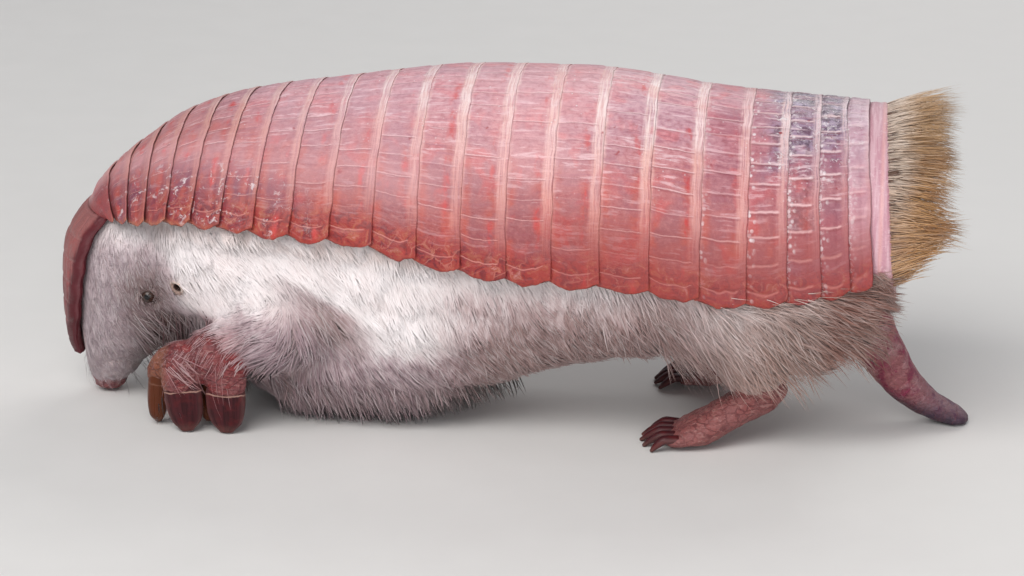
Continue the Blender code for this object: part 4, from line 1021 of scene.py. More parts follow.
    # the lower part of the coat is darker, grey, browner towards the hind end: partly painted shade, partly sand stain
    # painted shade on the flank in front of the thigh
    middle = tree.times(tree.span(x, -6.5, 3.0), tree.span(x, 30.0, 24.0), tree.span(z, 22.5, 17.0))
    colour = tree.mix(tree.times(middle, tree.span(streaks, 0.3, 0.62, 0.45, 0.88)), colour, tree.mix(tree.span(x, 6.0, 18.0), (0.40, 0.32, 0.30), (0.30, 0.23, 0.20)))
    brink = tree.plus(tree.span(x, -22.0, -12.0, 15.6, 11.0, soft=False), tree.span(x, -4.0, 8.0, 0.0, 6.3))
    lower = tree.span(tree.plus(tree.minus(z, brink), tree.times(tree.minus(patch, 0.5), 4.0)), 1.2, -2.8)
    lower = tree.times(lower, tree.span(x, -30.0, -26.0), tree.span(x, 23.5, 28.5, 1.0, 0.30))
    colour = tree.mix(tree.times(lower, tree.span(streaks, 0.35, 0.62, 0.62, 0.95)), colour, tree.mix(tree.span(x, -8.0, 6.0), (0.29, 0.235, 0.25), (0.27, 0.195, 0.175)))
    # painted shade below the shell at the hind end
    colour = tree.mix(tree.times(tree.span(x, 32.0, 40.0), tree.span(z, 21.0, 17.0), 0.55), colour, (0.25, 0.17, 0.145))
    hand = tree.times(tree.span(x, -23.5, -29.0), tree.span(z, 14.0, 12.0), tree.span(side, 10.0, 10.8))
    colour = tree.mix(tree.times(hand, 0.80), colour, (0.36, 0.185, 0.185))
    root = tree.times(tree.span(x, 40.5, 44.5), tree.span(broad, 0.3, 0.6, 0.5, 0.9))
    colour = tree.mix(root, colour, (0.24, 0.115, 0.085))
    # painted reddish light bounced into the shade: the darker the coat, the redder
    red = tree.split(colour)[0]
    shade_reddened = tree.mix(tree.span(x, 24.0, 38.0), tree.scaled(colour, 1.0, 0.84, 0.88), tree.scaled(colour, 1.0, 0.82, 0.78))
    return tree.mix(tree.span(red, 0.38, 0.92), shade_reddened, tree.scaled(colour, 1.0, 0.965, 0.975))


def around(tree, x, z, centre, wide=1.0):
    """Distance in the side view from a feature of the head."""
    return tree.math("SQRT", tree.plus(tree.math("POWER", tree.times(tree.minus(x, centre[0]), wide), 2.0), tree.math("POWER", tree.minus(z, centre[2]), 2.0)))


def skin_material():
    tree = Tree("skin_folds")
    spot = tree.place()
    x, y, z = tree.split(spot)
    bare, tail, tail_at = tree.split(tree.attribute("bare"))
    fine = tree.noise(spot, 1.8, 4, 0.6)
    medium = tree.noise(spot, 0.55, 3, 0.6)
    mottle = tree.noise(spot, 0.42, 4, 0.6, 0.6)
    fur = tree.mix(0.16, coat_colour(tree, spot), (0.56, 0.45, 0.41))
    fur = tree.mix(tree.times(tree.span(fine, 0.45, 0.6), 0.2), fur, (0.40, 0.29, 0.26))
    # fingers, palms, nose and ears
    pink = tree.mix(tree.span(medium, 0.35, 0.65), (0.155, 0.040, 0.046), (0.235, 0.066, 0.068))
    pink = tree.mix(tree.times(tree.span(fine, 0.5, 0.7), 0.45), pink, (0.36, 0.17, 0.16))
    pink = tree.mix(tree.times(tree.span(mottle, 0.52, 0.66), 0.8), pink, (0.20, 0.018, 0.020))
    red_patch = tree.times(tree.bump_at(x, -26.4, 3.8), tree.bump_at(z, 9.4, 2.8))
    pink = tree.mix(tree.times(red_patch, tree.span(medium, 0.3, 0.6, 0.5, 1.0)), pink, (0.22, 0.012, 0.014))
    orange = tree.times(tree.span(x, -34.6, -36.2), tree.span(z, 2.0, 4.0))
    pink = tree.mix(tree.times(orange, 0.6), pink, (0.26, 0.10, 0.04))
    hind = tree.span(x, 20.0, 24.0)
    pink = tree.mix(tree.times(hind, 0.5), pink, (0.30, 0.11, 0.10))
    # tail: red pink with magenta mottles, grey violet towards the tip, dark below
    flesh = tree.mix(tree.span(mottle, 0.44, 0.56), (0.38, 0.135, 0.145), (0.27, 0.030, 0.075))
    flesh = tree.mix(tree.times(tree.span(medium, 0.5, 0.64), 0.7), flesh, (0.54, 0.30, 0.31))
    flesh = tree.mix(tree.times(tree.span(x, 51.5, 56.0), 0.8), flesh, tree.mix(tree.span(mottle, 0.45, 0.6), (0.26, 0.15, 0.18), (0.075, 0.038, 0.080)))
    flesh = tree.mix(tree.times(tree.span(tree.plus(tree.plus(z, tree.times(mottle, 2.4)), tree.times(tree.minus(x, 50.0), 0.30)), 6.4, 4.2), tree.span(x, 46.5, 50.5), 0.88), flesh, (0.028, 0.018, 0.040))
    flesh = tree.mix(tree.times(tree.span(z, 12.0, 17.0), 0.6), flesh, (0.22, 0.085, 0.07))
    colour = tree.mix(tail, pink, flesh)
    # painted shade in the tail's ring creases
    crease = tree.math("SINE", tree.plus(tree.times(tail_at, 156.0), tree.times(medium, 3.0)))
    colour = tree.mix(tree.times(tail, tree.span(crease, 0.2, -0.9), 0.35), colour, (0.20, 0.06, 0.07))
    # creases and pale wrinkles of the hands and feet
    cracks = tree.span(tree.voronoi(tree.plus3(tree.scaled(spot, 1.0, 1.0, 1.5), tree.times(medium, 2.0)), 0.75, "DISTANCE_TO_EDGE"), 0.10, 0.02)
    limbs = tree.minus(1.0, tail)
    colour = tree.mix(tree.times(cracks, limbs, tree.span(mottle, 0.4, 0.6), 0.55), colour, (0.085, 0.016, 0.022))
    wrinkles = tree.noise(tree.scaled(spot, 0.9, 0.9, 2.6), 1.1, 3, 0.6, 0.6)
    colour = tree.mix(tree.times(tree.span(wrinkles, 0.56, 0.66), limbs, 0.45), colour, (0.44, 0.23, 0.205))
    colour = tree.mix(bare, fur, colour)
    # dark lids; the ear is a pit in painted shade, with a pale brown flap
    eye_near, ear_near = around(tree, x, z, EYE), around(tree, x, z, EAR)
    outer = tree.span(tree.math("ABSOLUTE", y), 6.0, 7.0)
    colour = tree.mix(tree.times(tree.span(tree.plus(eye_near, tree.times(medium, 0.6)), 2.2, 1.2), outer, 0.85), colour, (0.075, 0.045, 0.042))
    colour = tree.mix(tree.times(tree.span(ear_near, 1.15, 0.85), outer, 0.7), colour, (0.50, 0.38, 0.32))
    colour = tree.mix(tree.times(tree.span(ear_near, 0.62, 0.42), outer, 0.95), colour, (0.035, 0.014, 0.012))
    pores = tree.voronoi(spot, 2.6, "F1")
    height = tree.plus(tree.times(fine, 0.6), tree.times(pores, 0.5))
    height = tree.plus(height, tree.times(tree.noise(spot, 5.0, 3, 0.6), 0.3))
    height = tree.minus(height, tree.times(cracks, bare, 0.5))
    height = tree.plus(height, tree.times(wrinkles, bare, 0.8))
    tree.bump(height, 0.00026, 0.75)
    return tree.finish(colour, tree.span(fine, 0.3, 0.7, 0.42, 0.62), Specular_IOR_Level=0.4, Subsurface_Weight=0.12, Subsurface_Scale=0.0012, Subsurface_Radius=(1.0, 0.35, 0.25))


def fur_material(name, colouring, rough=0.5, sheen=0.25, roots=0.14):
    tree = Tree(name)
    spot = tree.place()
    random, along, _ = tree.split(tree.attribute("hair"))
    colour = colouring(tree, spot)
    colour = tree.mix(tree.times(tree.span(random, 0.3, 1.0), 0.20), colour, (0.95, 0.93, 0.92))
    colour = tree.mix(tree.times(tree.span(random, 0.20, 0.0), 0.22), colour, (0.42, 0.32, 0.29))
    # painted shade towards the root of each strand
    colour = tree.mix(tree.times(tree.span(along, 0.5, 0.0), roots), colour, (0.42, 0.31, 0.27))
    streak = tree.noise(spot, 6.0, 2, 0.6)
    tree.bump(streak, 0.00005, 0.5)
    return tree.finish(colour, tree.span(streak, 0.2, 0.8, rough - 0.06, rough + 0.08), Specular_IOR_Level=0.35, Sheen_Weight=sheen, Sheen_Roughness=0.4)


# --- strands --------------------------------------------------------------------------------------------
def strands(name, root, ahead, normal, length, width, lift, fall, material, uv, random, bend=None, clump=None, rings=3, per_piece=11800, droop=None, soft=0.5):
    """Closed, thin, tapering strands as joined meshes. ahead lies along the skin, lift and fall shape the strand's arch.

    uv is each root's place on the unwrap of the skin, and the whole strand is a patch 0.003 across there.
    """
    count = len(root)
    u = np.linspace(0, 1, rings + 1)
    across = unit(np.cross(ahead, normal))
    bend = np.zeros(count) if bend is None else bend
    path = root[:, None] + ahead[:, None] * (length[:, None] * u)[..., None]
    path = path + normal[:, None] * ((length * lift)[:, None] * u - (length * fall)[:, None] * u**2)[..., None]
    path = path + across[:, None] * ((length * bend)[:, None] * u**2)[..., None]
    if droop is not None:
        path = path - np.array([0, 0, 1.0]) * ((length * droop)[:, None] * u**2)[..., None]
    if clump is not None:
        pull, towards_tip = clump
        path = path + (towards_tip - path[:, -1])[:, None] * (pull[:, None] * u**1.7)[..., None]
    path[..., 2] = np.maximum(path[..., 2], 0.10)
    direction = unit(np.gradient(path, axis=1))
    across = unit(np.cross(direction, normal[:, None]))
    up = np.cross(across, direction)
    taper = np.array([0.75, 1.0, 0.8, 0.5, 0.3, 0.2])[: rings] if rings <= 3 else np.interp(u[:-1], [0, 0.2, 0.6, 1], [0.7, 1.0, 0.8, 0.35])
    w = width[:, None] * taper[None, :]
    body = path[:, :-1]
    left = body - across[:, :-1] * (w * 0.5)[..., None]
    right = body + across[:, :-1] * (w * 0.5)[..., None]
    ridge = body + up[:, :-1] * (w * 0.42)[..., None]
    points = np.concatenate([np.stack([left, right, ridge], 2).reshape(count, rings * 3, 3), path[:, -1:]], 1)
    # shading follows the coat's surface more than the single strand, which makes it silky
    if soft is not None:
        facing = unit(up * (1 - soft) + normal[:, None] * soft)
        turned = np.concatenate([np.stack([facing[:, :-1] - across[:, :-1] * 0.42, facing[:, :-1] + across[:, :-1] * 0.42, facing[:, :-1]], 2).reshape(count, rings * 3, 3), facing[:, -1:]], 1)
        turned = unit(turned)
    size = rings * 3 + 1
    tris = [(0, 1, 2)]
    for i in range(rings - 1):
        for j in range(3):
            a, b = i * 3 + j, i * 3 + (j + 1) % 3
            tris += [(a, a + 3, b), (b, a + 3, b + 3)]
    base = (rings - 1) * 3
    tris += [(base + j, size - 1, base + (j + 1) % 3) for j in range(3)]
    tris = np.array(tris)
    hair = np.zeros((count, size, 3))
    hair[..., 0] = random[:, None]
    hair[:, :, 1] = np.concatenate([np.repeat(u[:-1], 3), [1.0]])
    spread = np.zeros((size, 2))
    spread[:, 0] = np.concatenate([np.tile([-1, 1, 0], rings), [0.0]]) * 0.0014
    spread[:, 1] = (np.concatenate([np.repeat(u[:-1], 3), [1.0]]) - 0.5) * 0.0028
    uv = np.clip(uv, 0.002, 0.998)
    pieces = []
    parts = max(1, math.ceil(count / per_piece))
    for number in range(parts):
        chosen = np.arange(number * count // parts, (number + 1) * count // parts)
        n = len(chosen)
        faces = (tris[None] + (np.arange(n) * size)[:, None, None]).reshape(-1, 3)
        piece = make(f"{name}_{number + 1}" if parts > 1 else name, points[chosen].reshape(-1, 3), faces, material, attributes={"hair": hair[chosen].reshape(-1, 3)})
        if soft is not None:
            piece.data.normals_split_custom_set_from_vertices(turned[chosen].reshape(-1, 3).tolist())
        layer = piece.data.uv_layers.new(name="OFBake")
        corner = (uv[chosen][:, None] + spread[None]).reshape(-1, 2)[faces.ravel()]
        layer.data.foreach_set("uv", corner.astype(np.float32).ravel())
        pieces.append(piece)
    return pieces


# --- skin and coat are made ---------------------------------------------------------------------------------
skin_data, skin_co, skin_bare, skin_tail, skin_tail_at = build_skin()
quads = [tuple(p.vertices) for p in skin_data.polygons]
NODES_OF_FLESH = ["head", "neck", "trunk", "tail", "nose"] + [f"{part}_{word}" for part in ("ear", "foreleg", "forefoot", "hindleg", "hindfoot") for word in ("left", "right")]
skin = make("skin", skin_co, quads, skin_material(), NODES_OF_FLESH, {"bare": np.stack([skin_bare, skin_tail, skin_tail_at], -1)})
bpy.context.view_layer.objects.active = skin
for other in bpy.context.selected_objects:
    other.select_set(False)
skin.select_set(True)
bpy.ops.object.mode_set(mode="EDIT")
bpy.ops.mesh.select_all(action="SELECT")
bpy.ops.uv.smart_project(angle_limit=1.15, island_margin=0.002)
bpy.ops.object.mode_set(mode="OBJECT")
skin.data.uv_layers[0].name = "OFBake"


def skin_samples(count):
    """Even random places on the skin: point, normal, place on the unwrap."""
    mesh = skin.data
    mesh.calc_loop_triangles()
    n = len(mesh.loop_triangles)
    vertex = np.empty(n * 3, np.int32)
    mesh.loop_triangles.foreach_get("vertices", vertex)
    corner = np.empty(n * 3, np.int32)
    mesh.loop_triangles.foreach_get("loops", corner)
    vertex, corner = vertex.reshape(-1, 3), corner.reshape(-1, 3)
    flat = np.empty(len(mesh.loops) * 2, np.float32)
    mesh.uv_layers[0].data.foreach_get("uv", flat)
    flat = flat.reshape(-1, 2)
    normal = np.empty(len(mesh.vertices) * 3, np.float32)
    mesh.vertex_normals.foreach_get("vector", normal)
    normal = normal.reshape(-1, 3)
    p = skin_co[vertex]
    area = np.linalg.norm(np.cross(p[:, 1] - p[:, 0], p[:, 2] - p[:, 0]), axis=1) / 2
    total = np.cumsum(area)
    pick = np.searchsorted(total, (np.arange(count) + RNG.random(count)) / count * total[-1])
    pick = np.clip(pick, 0, n - 1)
    a, b = RNG.random(count), RNG.random(count)
    over = a + b > 1
    a[over], b[over] = 1 - a[over], 1 - b[over]
    share = np.stack([1 - a - b, a, b], 1)[..., None]
    return (p[pick] * share).sum(1), unit((normal[vertex[pick]] * share).sum(1)), (flat[corner[pick]] * share).sum(1), total[-1]


def flow(p):
    """Lie, length, lift, width and thickness of growth of the coat at points of the skin."""
    x, y, z = p[:, 0], p[:, 1], p[:, 2]
    side = np.sign(y + 1e-9)
    ay = np.abs(y)
    edge = smooth(EDGE, x)
    d = np.stack([np.full(len(p), 0.42), 0.10 * side, np.full(len(p), -0.90)], -1)
    length = np.full(len(p), 4.0)
    lift = np.full(len(p), 0.30)
    width = np.full(len(p), 0.17)
    dense = np.ones(len(p))

    def blend(weight, direction=None, long=None, rise=None, wide=None, thick=None):
        nonlocal d, length, lift, width, dense
        if direction is not None:
            v = np.stack([np.full(len(p), direction[0]), direction[1] * side, np.full(len(p), direction[2])], -1) if not isinstance(direction, np.ndarray) else direction
            d = d + (v - d) * weight[:, None]
        if long is not None:
            length = length + (long - length) * weight
        if rise is not None:
            lift = lift + (rise - lift) * weight
        if wide is not None:
            width = width + (wide - width) * weight
        if thick is not None:
            dense = dense + (thick - dense) * weight

    # shoulder: more backward than the flank; belly: backward
    blend(step_up(-x, 4, 20), (0.62, 0.05, -0.78), 3.8)
    blend(step_up(x, 12, 26), (0.60, 0.06, -0.80), 6.2, 0.20, 0.15)
    blend(step_up(8.5 - z, 0, 4) * step_up(x, -30, -24), (0.75, 0.10, -0.55), 4.6, 0.30, None, 0.9)
    blend(step_up(3.4 - z, 0, 2.2), (0.70, 0.40, -0.30), 4.2, 0.22)
    # belly seen from below and between the legs
    blend(step_up(9 - ay, 0, 5) * step_up(13 - z, 0, 4) * step_up(x, -24, -18), (0.95, 0.0, -0.10), 3.6, 0.25, None, 0.55)
    # face: short, down from the shield and backward
    face = step_up(-x, 33.5, 37.0)
    cheek = step_up(-x, 29.5, 33.5)
    blend(cheek, (0.55, 0.05, -0.80), 2.7, 0.24, 0.14)
    blend(face, (0.34, 0.0, -0.92), 1.45, 0.20, 0.105, 1.5)
    muzzle = face * step_up(8.0 - z, 0, 4)
    blend(muzzle, (0.25, 0.25, -0.55), 0.9, 0.18, 0.085, 1.3)
    eye = np.linalg.norm((p - np.stack([np.full(len(p), EYE[0]), EYE[1] * -side, np.full(len(p), EYE[2])], -1) * [1, 1, 1]) * [1, 0.4, 1], axis=1)
    eye = np.hypot(x - EYE[0], z - EYE[2])
    blend(np.exp(-((eye / 1.9) ** 2)) * (ay > 7), None, 0.8, 0.16, 0.08)
    # crook of the arm turns the coat towards the wrist
    for mirror in (-1, 1):
        near, at = near_path(p, FORELEG, mirror)
        arm = step_up(1.75 - near, 0, 0.45) * step_up(at, 0.28, 0.55)
        blend(arm, (-0.86, 0.10, -0.36), 3.4, 0.28, 0.15)
        blend(arm * step_up(at, 0.72, 0.95), (-0.74, 0.10, -0.60), 2.0, 0.14, 0.10)
        hand = step_up(-x, 26.5, 28.5) * step_up(ay, 10.0, 11.0) * step_up(13.0 - z, 0, 1.0) * (np.sign(y) == mirror)
        blend(hand, (-0.54, 0.10, -0.78), 1.6, 0.04, 0.052)
        blend(arm * step_up(-x, 21.5, 24.0) * step_up(12.5 - z, 0, 1.5), None, 1.25, 0.08)
        under_arm = step_up(1.9 - near, 0, 0.5) * step_up(at, 0.0, 0.3) * step_up(12 - z, 0, 3)
        blend(under_arm * 0.6, (-0.2, 0.1, -0.95), 4.2)
        hanging = step_up(1.9 - near, 0, 0.5) * step_up(at, 0.35, 0.6) * step_up(10.0 - z, 0, 1.5) * (np.sign(y) == mirror)
        blend(hanging, (0.10, 0.05, -0.98), 4.4, 0.30)
        thigh, at = near_path(p, HINDLEG, mirror)
        leg = step_up(1.7 - thigh, 0, 0.5) * step_up(at, 0.1, 0.35)
        blend(leg, (0.64, 0.08, -0.76), 5.6, 0.18, 0.13)
        blend(leg * step_up(at, 0.6, 0.9), (0.52, 0.08, -0.82), 4.6, 0.26, 0.12)
    # rear end
    rear = step_up(x, 40.5, 43.5)
    blend(rear, (0.62, 0.12, -0.62), 3.6, 0.20, 0.13, 1.0)
    # below the rump plate
    blend(step_up(x, 44.4, 44.8) * (z < 17.5), (0.30, 0.30, -0.90), 3.0, 0.22, 0.13, 1.5)
    # below the shell edge the roots lie flat
    blend(step_up(z - edge, -1.0, 0.4) * (x > -42), None, None, 0.02)
    return d, length, lift, width, dense, edge


def build_coat(count, budget):
    root, normal, uv, _ = skin_samples(count)
    d, length, lift, width, dense, edge = flow(root)
    bare, _, _ = bare_share(root)
    x, y, z = root.T
    keep = bare < 0.35 + 0.25 * RNG.random(count)
    hand = (x < -24.0) & (np.abs(y) > 10.3) & (z < 13.5)
    keep |= hand & (bare > 0.4) & (RNG.random(count) < 0.27 * step_up(z, 7.6, 12.0) + 0.02) & (normal[:, 2] > -0.35) & (normal[:, 1] * np.sign(y) > -0.5)
    keep &= ~((z > edge + 1.1) & (x > -44.2))
    # nothing grows under the head shield
    spread = np.arctan2(np.abs(y), -(x + 41.5))
    shield_share = np.clip((z - SHIELD_LOW) / (SHIELD_TOP - SHIELD_LOW), 0, 1)
    keep &= ~((x < -38) & (spread < np.radians(25 + 22 * shield_share**0.8) * np.sqrt(np.clip(shield_share / 0.14, 0.05, 1))) & (z > 5.0))
    keep &= z > 0.35
    keep &= (x < 44.9) | ((z < 16.8) & (x < 45.6))
    # eye opening and ear pit stay free, of roots and of hair that passes over them
    lie = unit(d - normal * (d * normal).sum(-1, keepdims=True))
    for share in (0.0, 0.35, 0.7, 1.0):
        at_x, at_z = x + lie[:, 0] * length * share, z + lie[:, 2] * length * share
        keep &= ~((np.hypot(at_x - EYE[0], (at_z - EYE[2]) * 1.3) < 0.60) & (np.abs(y) > 7))
        keep &= ~((np.hypot(at_x - EAR[0], (at_z - EAR[2]) * 0.9) < 0.80) & (np.abs(y) > 7))
    hidden = (np.abs(y) < 8) & (z < 8)
    keep &= RNG.random(count) < dense / 1.5 * np.where(hidden, 0.8, 1.0)
    index = np.flatnonzero(keep)
    if len(index) > budget:
        index = np.sort(RNG.choice(index, budget, replace=False))
    root, normal, uv, d, length, lift, width = (v[index] for v in (root, normal, uv, d, length, lift, width))
    count = len(index)
    # the lie wavers over broad patches and from hair to hair
    wander = 0.26 * noise(root * 0.22, 61) + 0.16 * noise(root * 0.6, 62) + 0.11 * RNG.standard_normal(count)
    wander = wander * (1 - 0.35 * step_up(root[:, 0], 12, 28))
    on_hand = (root[:, 0] < -26.5) & (np.abs(root[:, 1]) > 10.5) & (root[:, 2] < 12)
    wander = np.where(on_hand, wander * 0.35, wander)
    d = unit(d - normal * (d * normal).sum(-1, keepdims=True))
    across = np.cross(normal, d)
    d = unit(d + across * wander[:, None])
    length = length * (0.72 + 0.5 * RNG.random(count)) * (1 + 0.22 * noise(root * 0.5, 63))
    lift = lift * 0.8 * (0.6 + 0.8 * RNG.random(count)) + 0.04 * noise(root * 0.4, 64)
    lift = np.maximum(lift, 0.02)
    # the coat of the hind leg ends above the heel
    tip_x, tip_z = root[:, 0] + d[:, 0] * length, root[:, 2] + d[:, 2] * length
    hem = np.interp(tip_x, [18, 22, 26, 29.7, 32, 34.2, 37, 40.6, 43.8, 46.4], [0, 6.0, 8.4, 7.9, 9.2, 10.5, 10.8, 10.6, 11.8, 12.6]) - 1.9 * RNG.random(count) ** 1.4
    over = (root[:, 0] > 19) & (np.abs(root[:, 1]) > 4) & (tip_z < hem) & (root[:, 2] > tip_z)
    length = np.where(over, length * np.clip((root[:, 2] - hem) / np.maximum(root[:, 2] - tip_z, 0.01), 0.22, 1), length)
    fall = lift * (0.75 + 0.35 * RNG.random(count))
    width = width * (0.8 + 0.45 * RNG.random(count))
    # tips gather into locks
    tips = root + d * length[:, None] + normal * (length * (lift - fall))[:, None]
    guides = RNG.choice(count, count // 26, replace=False)
    tree = kdtree.KDTree(len(guides))
    for i, g in enumerate(guides):
        tree.insert(root[g] + 0.5 * (tips[g] - root[g]), i)
    tree.balance()
    middle = root + 0.5 * (tips - root)
    nearest = np.array([tree.find(q)[1] for q in middle])
    target_tip = tips[guides][nearest] + normal * 0.12
    gap = np.linalg.norm(target_tip - tips, axis=1)
    pull = np.clip(0.62 - 0.12 * gap, 0.0, 0.62) * (0.5 + 0.5 * RNG.random(count))
    # pieces follow the body from front to back and side to side
    order = np.lexsort((root[:, 0], np.where(root[:, 1] < 0, 0, 1)))
    random = np.clip(0.5 + 0.5 * noise(root * 0.9, 65) * 0.5 + 0.25 * RNG.standard_normal(count), 0, 1)
    bend = 0.16 * RNG.standard_normal(count) * np.where(on_hand, 0.4, 1.0)
    sel = order
    print("coat strands", count)
    return strands("coat", root[sel], d[sel], normal[sel], length[sel], width[sel], lift[sel], fall[sel], fur_material("coat_white", coat_colour), uv[sel], random[sel], bend[sel], (pull[sel], target_tip[sel]), 3, 12200)


coat = build_coat(250000, 66000)


# --- hair fringe of the rump -----------------------------------------------------------------------------------
def straw_colour(tree, spot):
    x, y, z = tree.split(spot)
    broad = tree.noise(spot, 0.35, 3, 0.5)
    colour = tree.mix(tree.span(broad, 0.35, 0.65), (0.44, 0.205, 0.066), (0.62, 0.335, 0.130))
    colour = tree.mix(tree.times(tree.span(z, 31.0, 39.0), 0.55), colour, (0.50, 0.345, 0.205))
    colour = tree.mix(tree.times(tree.span(tree.plus(x, tree.times(tree.minus(tree.noise(tree.scaled(spot, 0.15, 1.3, 1.3), 1.0, 3, 0.6), 0.5), 5.0)), 53.2, 49.6), tree.span(z, 26.0, 35.0, 0.15, 0.9)), colour, (0.82, 0.68, 0.57))
    return tree.mix(tree.times(tree.span(z, 24.0, 16.0), 0.6), colour, (0.26, 0.13, 0.055))


def outline(degrees, lift=0.0):
    a = np.radians(degrees)
    y, z = np.sin(a), np.cos(a)
    reach = np.where(z > 0, PLATE_UP, PLATE_DOWN)
    return (PLATE_HALF_Y + lift) * y, PLATE_Z + (reach + lift) * z


def rim_x(z):
    return RIM_X + GAP - RIM_TILT * (z - RIM_Z)


def build_fringe(count):
    degrees = (HAIR_END + 4) * (2 * RNG.random(count) - 1)
    degrees = np.where(np.abs(degrees) > HAIR_END - 10, degrees * np.where(RNG.random(count) < 0.5, 1, 0.5), degrees)
    locks = np.round(degrees / 5.0 + 0.35 * noise_1(degrees * 0.3, 71)) * 5.0
    inset = -0.25 - 1.6 * RNG.random(count)
    y, z = outline(degrees, inset)
    root = np.stack([rim_x(z) + PLATE_THICK - 0.5 - 0.25 * RNG.random(count), y, z], -1)
    radial = np.stack([0 * y, np.sin(np.radians(degrees)), np.cos(np.radians(degrees))], -1)
    fade = np.clip((HAIR_END + 12 - np.abs(degrees)) / 40, 0.03, 1)
    low = step_up(np.abs(degrees), 60, 98)
    top = step_up(-np.abs(degrees), -48, -22)
    length = (HAIR_LENGTH + 1.0) * (0.30 + 0.70 * fade**0.7) * (0.34 + 0.82 * RNG.random(count) ** 1.5) * (1 + 0.14 * noise_1(degrees * 0.14, 72))
    flare = 0.20 + 0.07 * top + 0.10 * RNG.standard_normal(count)
    down = 0.10 - 0.72 * low
    d = unit(np.stack([np.ones(count), 0 * y, 0 * y], -1) + radial * flare[:, None] * np.where(np.cos(np.radians(degrees)) > 0, 1, 0.5)[:, None] - np.array([0, 0, 1.0]) * (down * (0.6 + 0.6 * RNG.random(count)))[:, None])
    tip = root + d * length[:, None]
    lock_y, lock_z = outline(locks, inset)
    towards_tip = tip + np.stack([0 * y, (lock_y - y) * 1.0, (lock_z - z) * 1.0], -1)
    random = np.clip(0.5 + 0.28 * RNG.standard_normal(count), 0, 1)
    uv = np.stack([0.02 + 0.96 * (degrees + 130) / 260, 0.2 + 0.3 * (-inset)], -1)
    order = np.argsort(degrees)
    take = [v[order] for v in (root, d, radial, length, random, uv, towards_tip)]
    width = 0.095 * (0.8 + 0.5 * RNG.random(count))
    return strands("rump_fringe", take[0], take[1], take[2], take[3], width, 0.05 + 0.10 * RNG.random(count), 0.06 + 0.10 * RNG.random(count), fur_material("fringe_straw", straw_colour, 0.42, 0.1), take[5], take[4], 0.10 * RNG.standard_normal(count), (0.32 * RNG.random(count), take[6]), 4, 9000, (0.10 + 0.12 * RNG.random(count)) * (1 - 0.9 * low[order]) * (1 - 0.75 * top[order]), None)


def dark_colour(tree, spot):
    return tree.mix(tree.noise(spot, 1.5, 2), (0.11, 0.055, 0.040), (0.22, 0.12, 0.075))


def build_roots(count):
    """Short dark strokes at the fringe's roots, in small groups."""
    group = RNG.uniform(-HAIR_END, HAIR_END, count)
    degrees = np.repeat(group, 4) + RNG.uniform(-0.9, 0.9, count * 4)
    n = len(degrees)
    y, z = outline(degrees, -0.16 - 0.20 * RNG.random(n))
    root = np.stack([rim_x(z) + PLATE_THICK - 0.45, y, z], -1)
    radial = np.stack([0 * y, np.sin(np.radians(degrees)), np.cos(np.radians(degrees))], -1)
    rise = 0.22 - 0.05 * np.abs(degrees) / 100
    d = unit(np.stack([np.ones(n), 0 * y, rise], -1) + radial * 0.12)
    uv = np.stack([0.02 + 0.96 * (degrees + 115) / 230, 0.7 + 0 * degrees], -1)
    return strands("rump_fringe_roots", root, d, radial, 1.2 + 1.1 * RNG.random(n), 0.11 + 0 * y, 0.10 + 0 * y, 0.08 + 0 * y, fur_material("fringe_dark", dark_colour, 0.5, 0.0), uv, RNG.random(n), 0.08 * RNG.standard_normal(n), None, 3, 12000, None, None)


def build_cover(count):
    """Coat hair that grows over the lower ends of the rump plate's rim."""
    degrees = np.where(RNG.random(count) < 0.72, 93 + 45 * RNG.random(count) ** 0.6, RNG.uniform(138, 180, count)) * np.where(RNG.random(count) < 0.5, -1, 1)
    y, z = outline(degrees, 0.06)
    root = np.stack([rim_x(z) - 1.4 + 2.5 * RNG.random(count), y, z], -1)
    side = np.sign(y)
    radial = np.stack([0 * y, np.sin(np.radians(degrees)), np.cos(np.radians(degrees))], -1)
    drop = 0.45 + 0.60 * step_up(np.abs(degrees), 96, 125)
    d = np.stack([0.85 + 0 * y, 0.10 * side, -drop], -1) + 0.16 * RNG.standard_normal((count, 3))
    d = unit(d - radial * (d * radial).sum(-1, keepdims=True))
    thin = step_up(np.abs(degrees), 92, 103)
    uv = np.stack([0.02 + 0.96 * (degrees + 180) / 360, 0.85 + 0 * degrees], -1)
    length = (1.1 + 1.6 * RNG.random(count) ** 1.3) * (0.55 + 0.45 * thin)
    return strands("rump_cover_hair", root, d, radial, length, 0.085 * (0.8 + 0.4 * RNG.random(count)), 0.12 + 0.16 * RNG.random(count), 0.14 + 0.14 * RNG.random(count), fur_material("cover_hair", coat_colour, 0.45, 0.15), uv, RNG.random(count), 0.10 * RNG.standard_normal(count), None, 3, 12000, 0.05 + 0 * y, None)


build_roots(34)
build_cover(3400)
fringe = build_fringe(7600)
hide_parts("rump_hair_left", "rump_hair_top", "rump_hair_right")


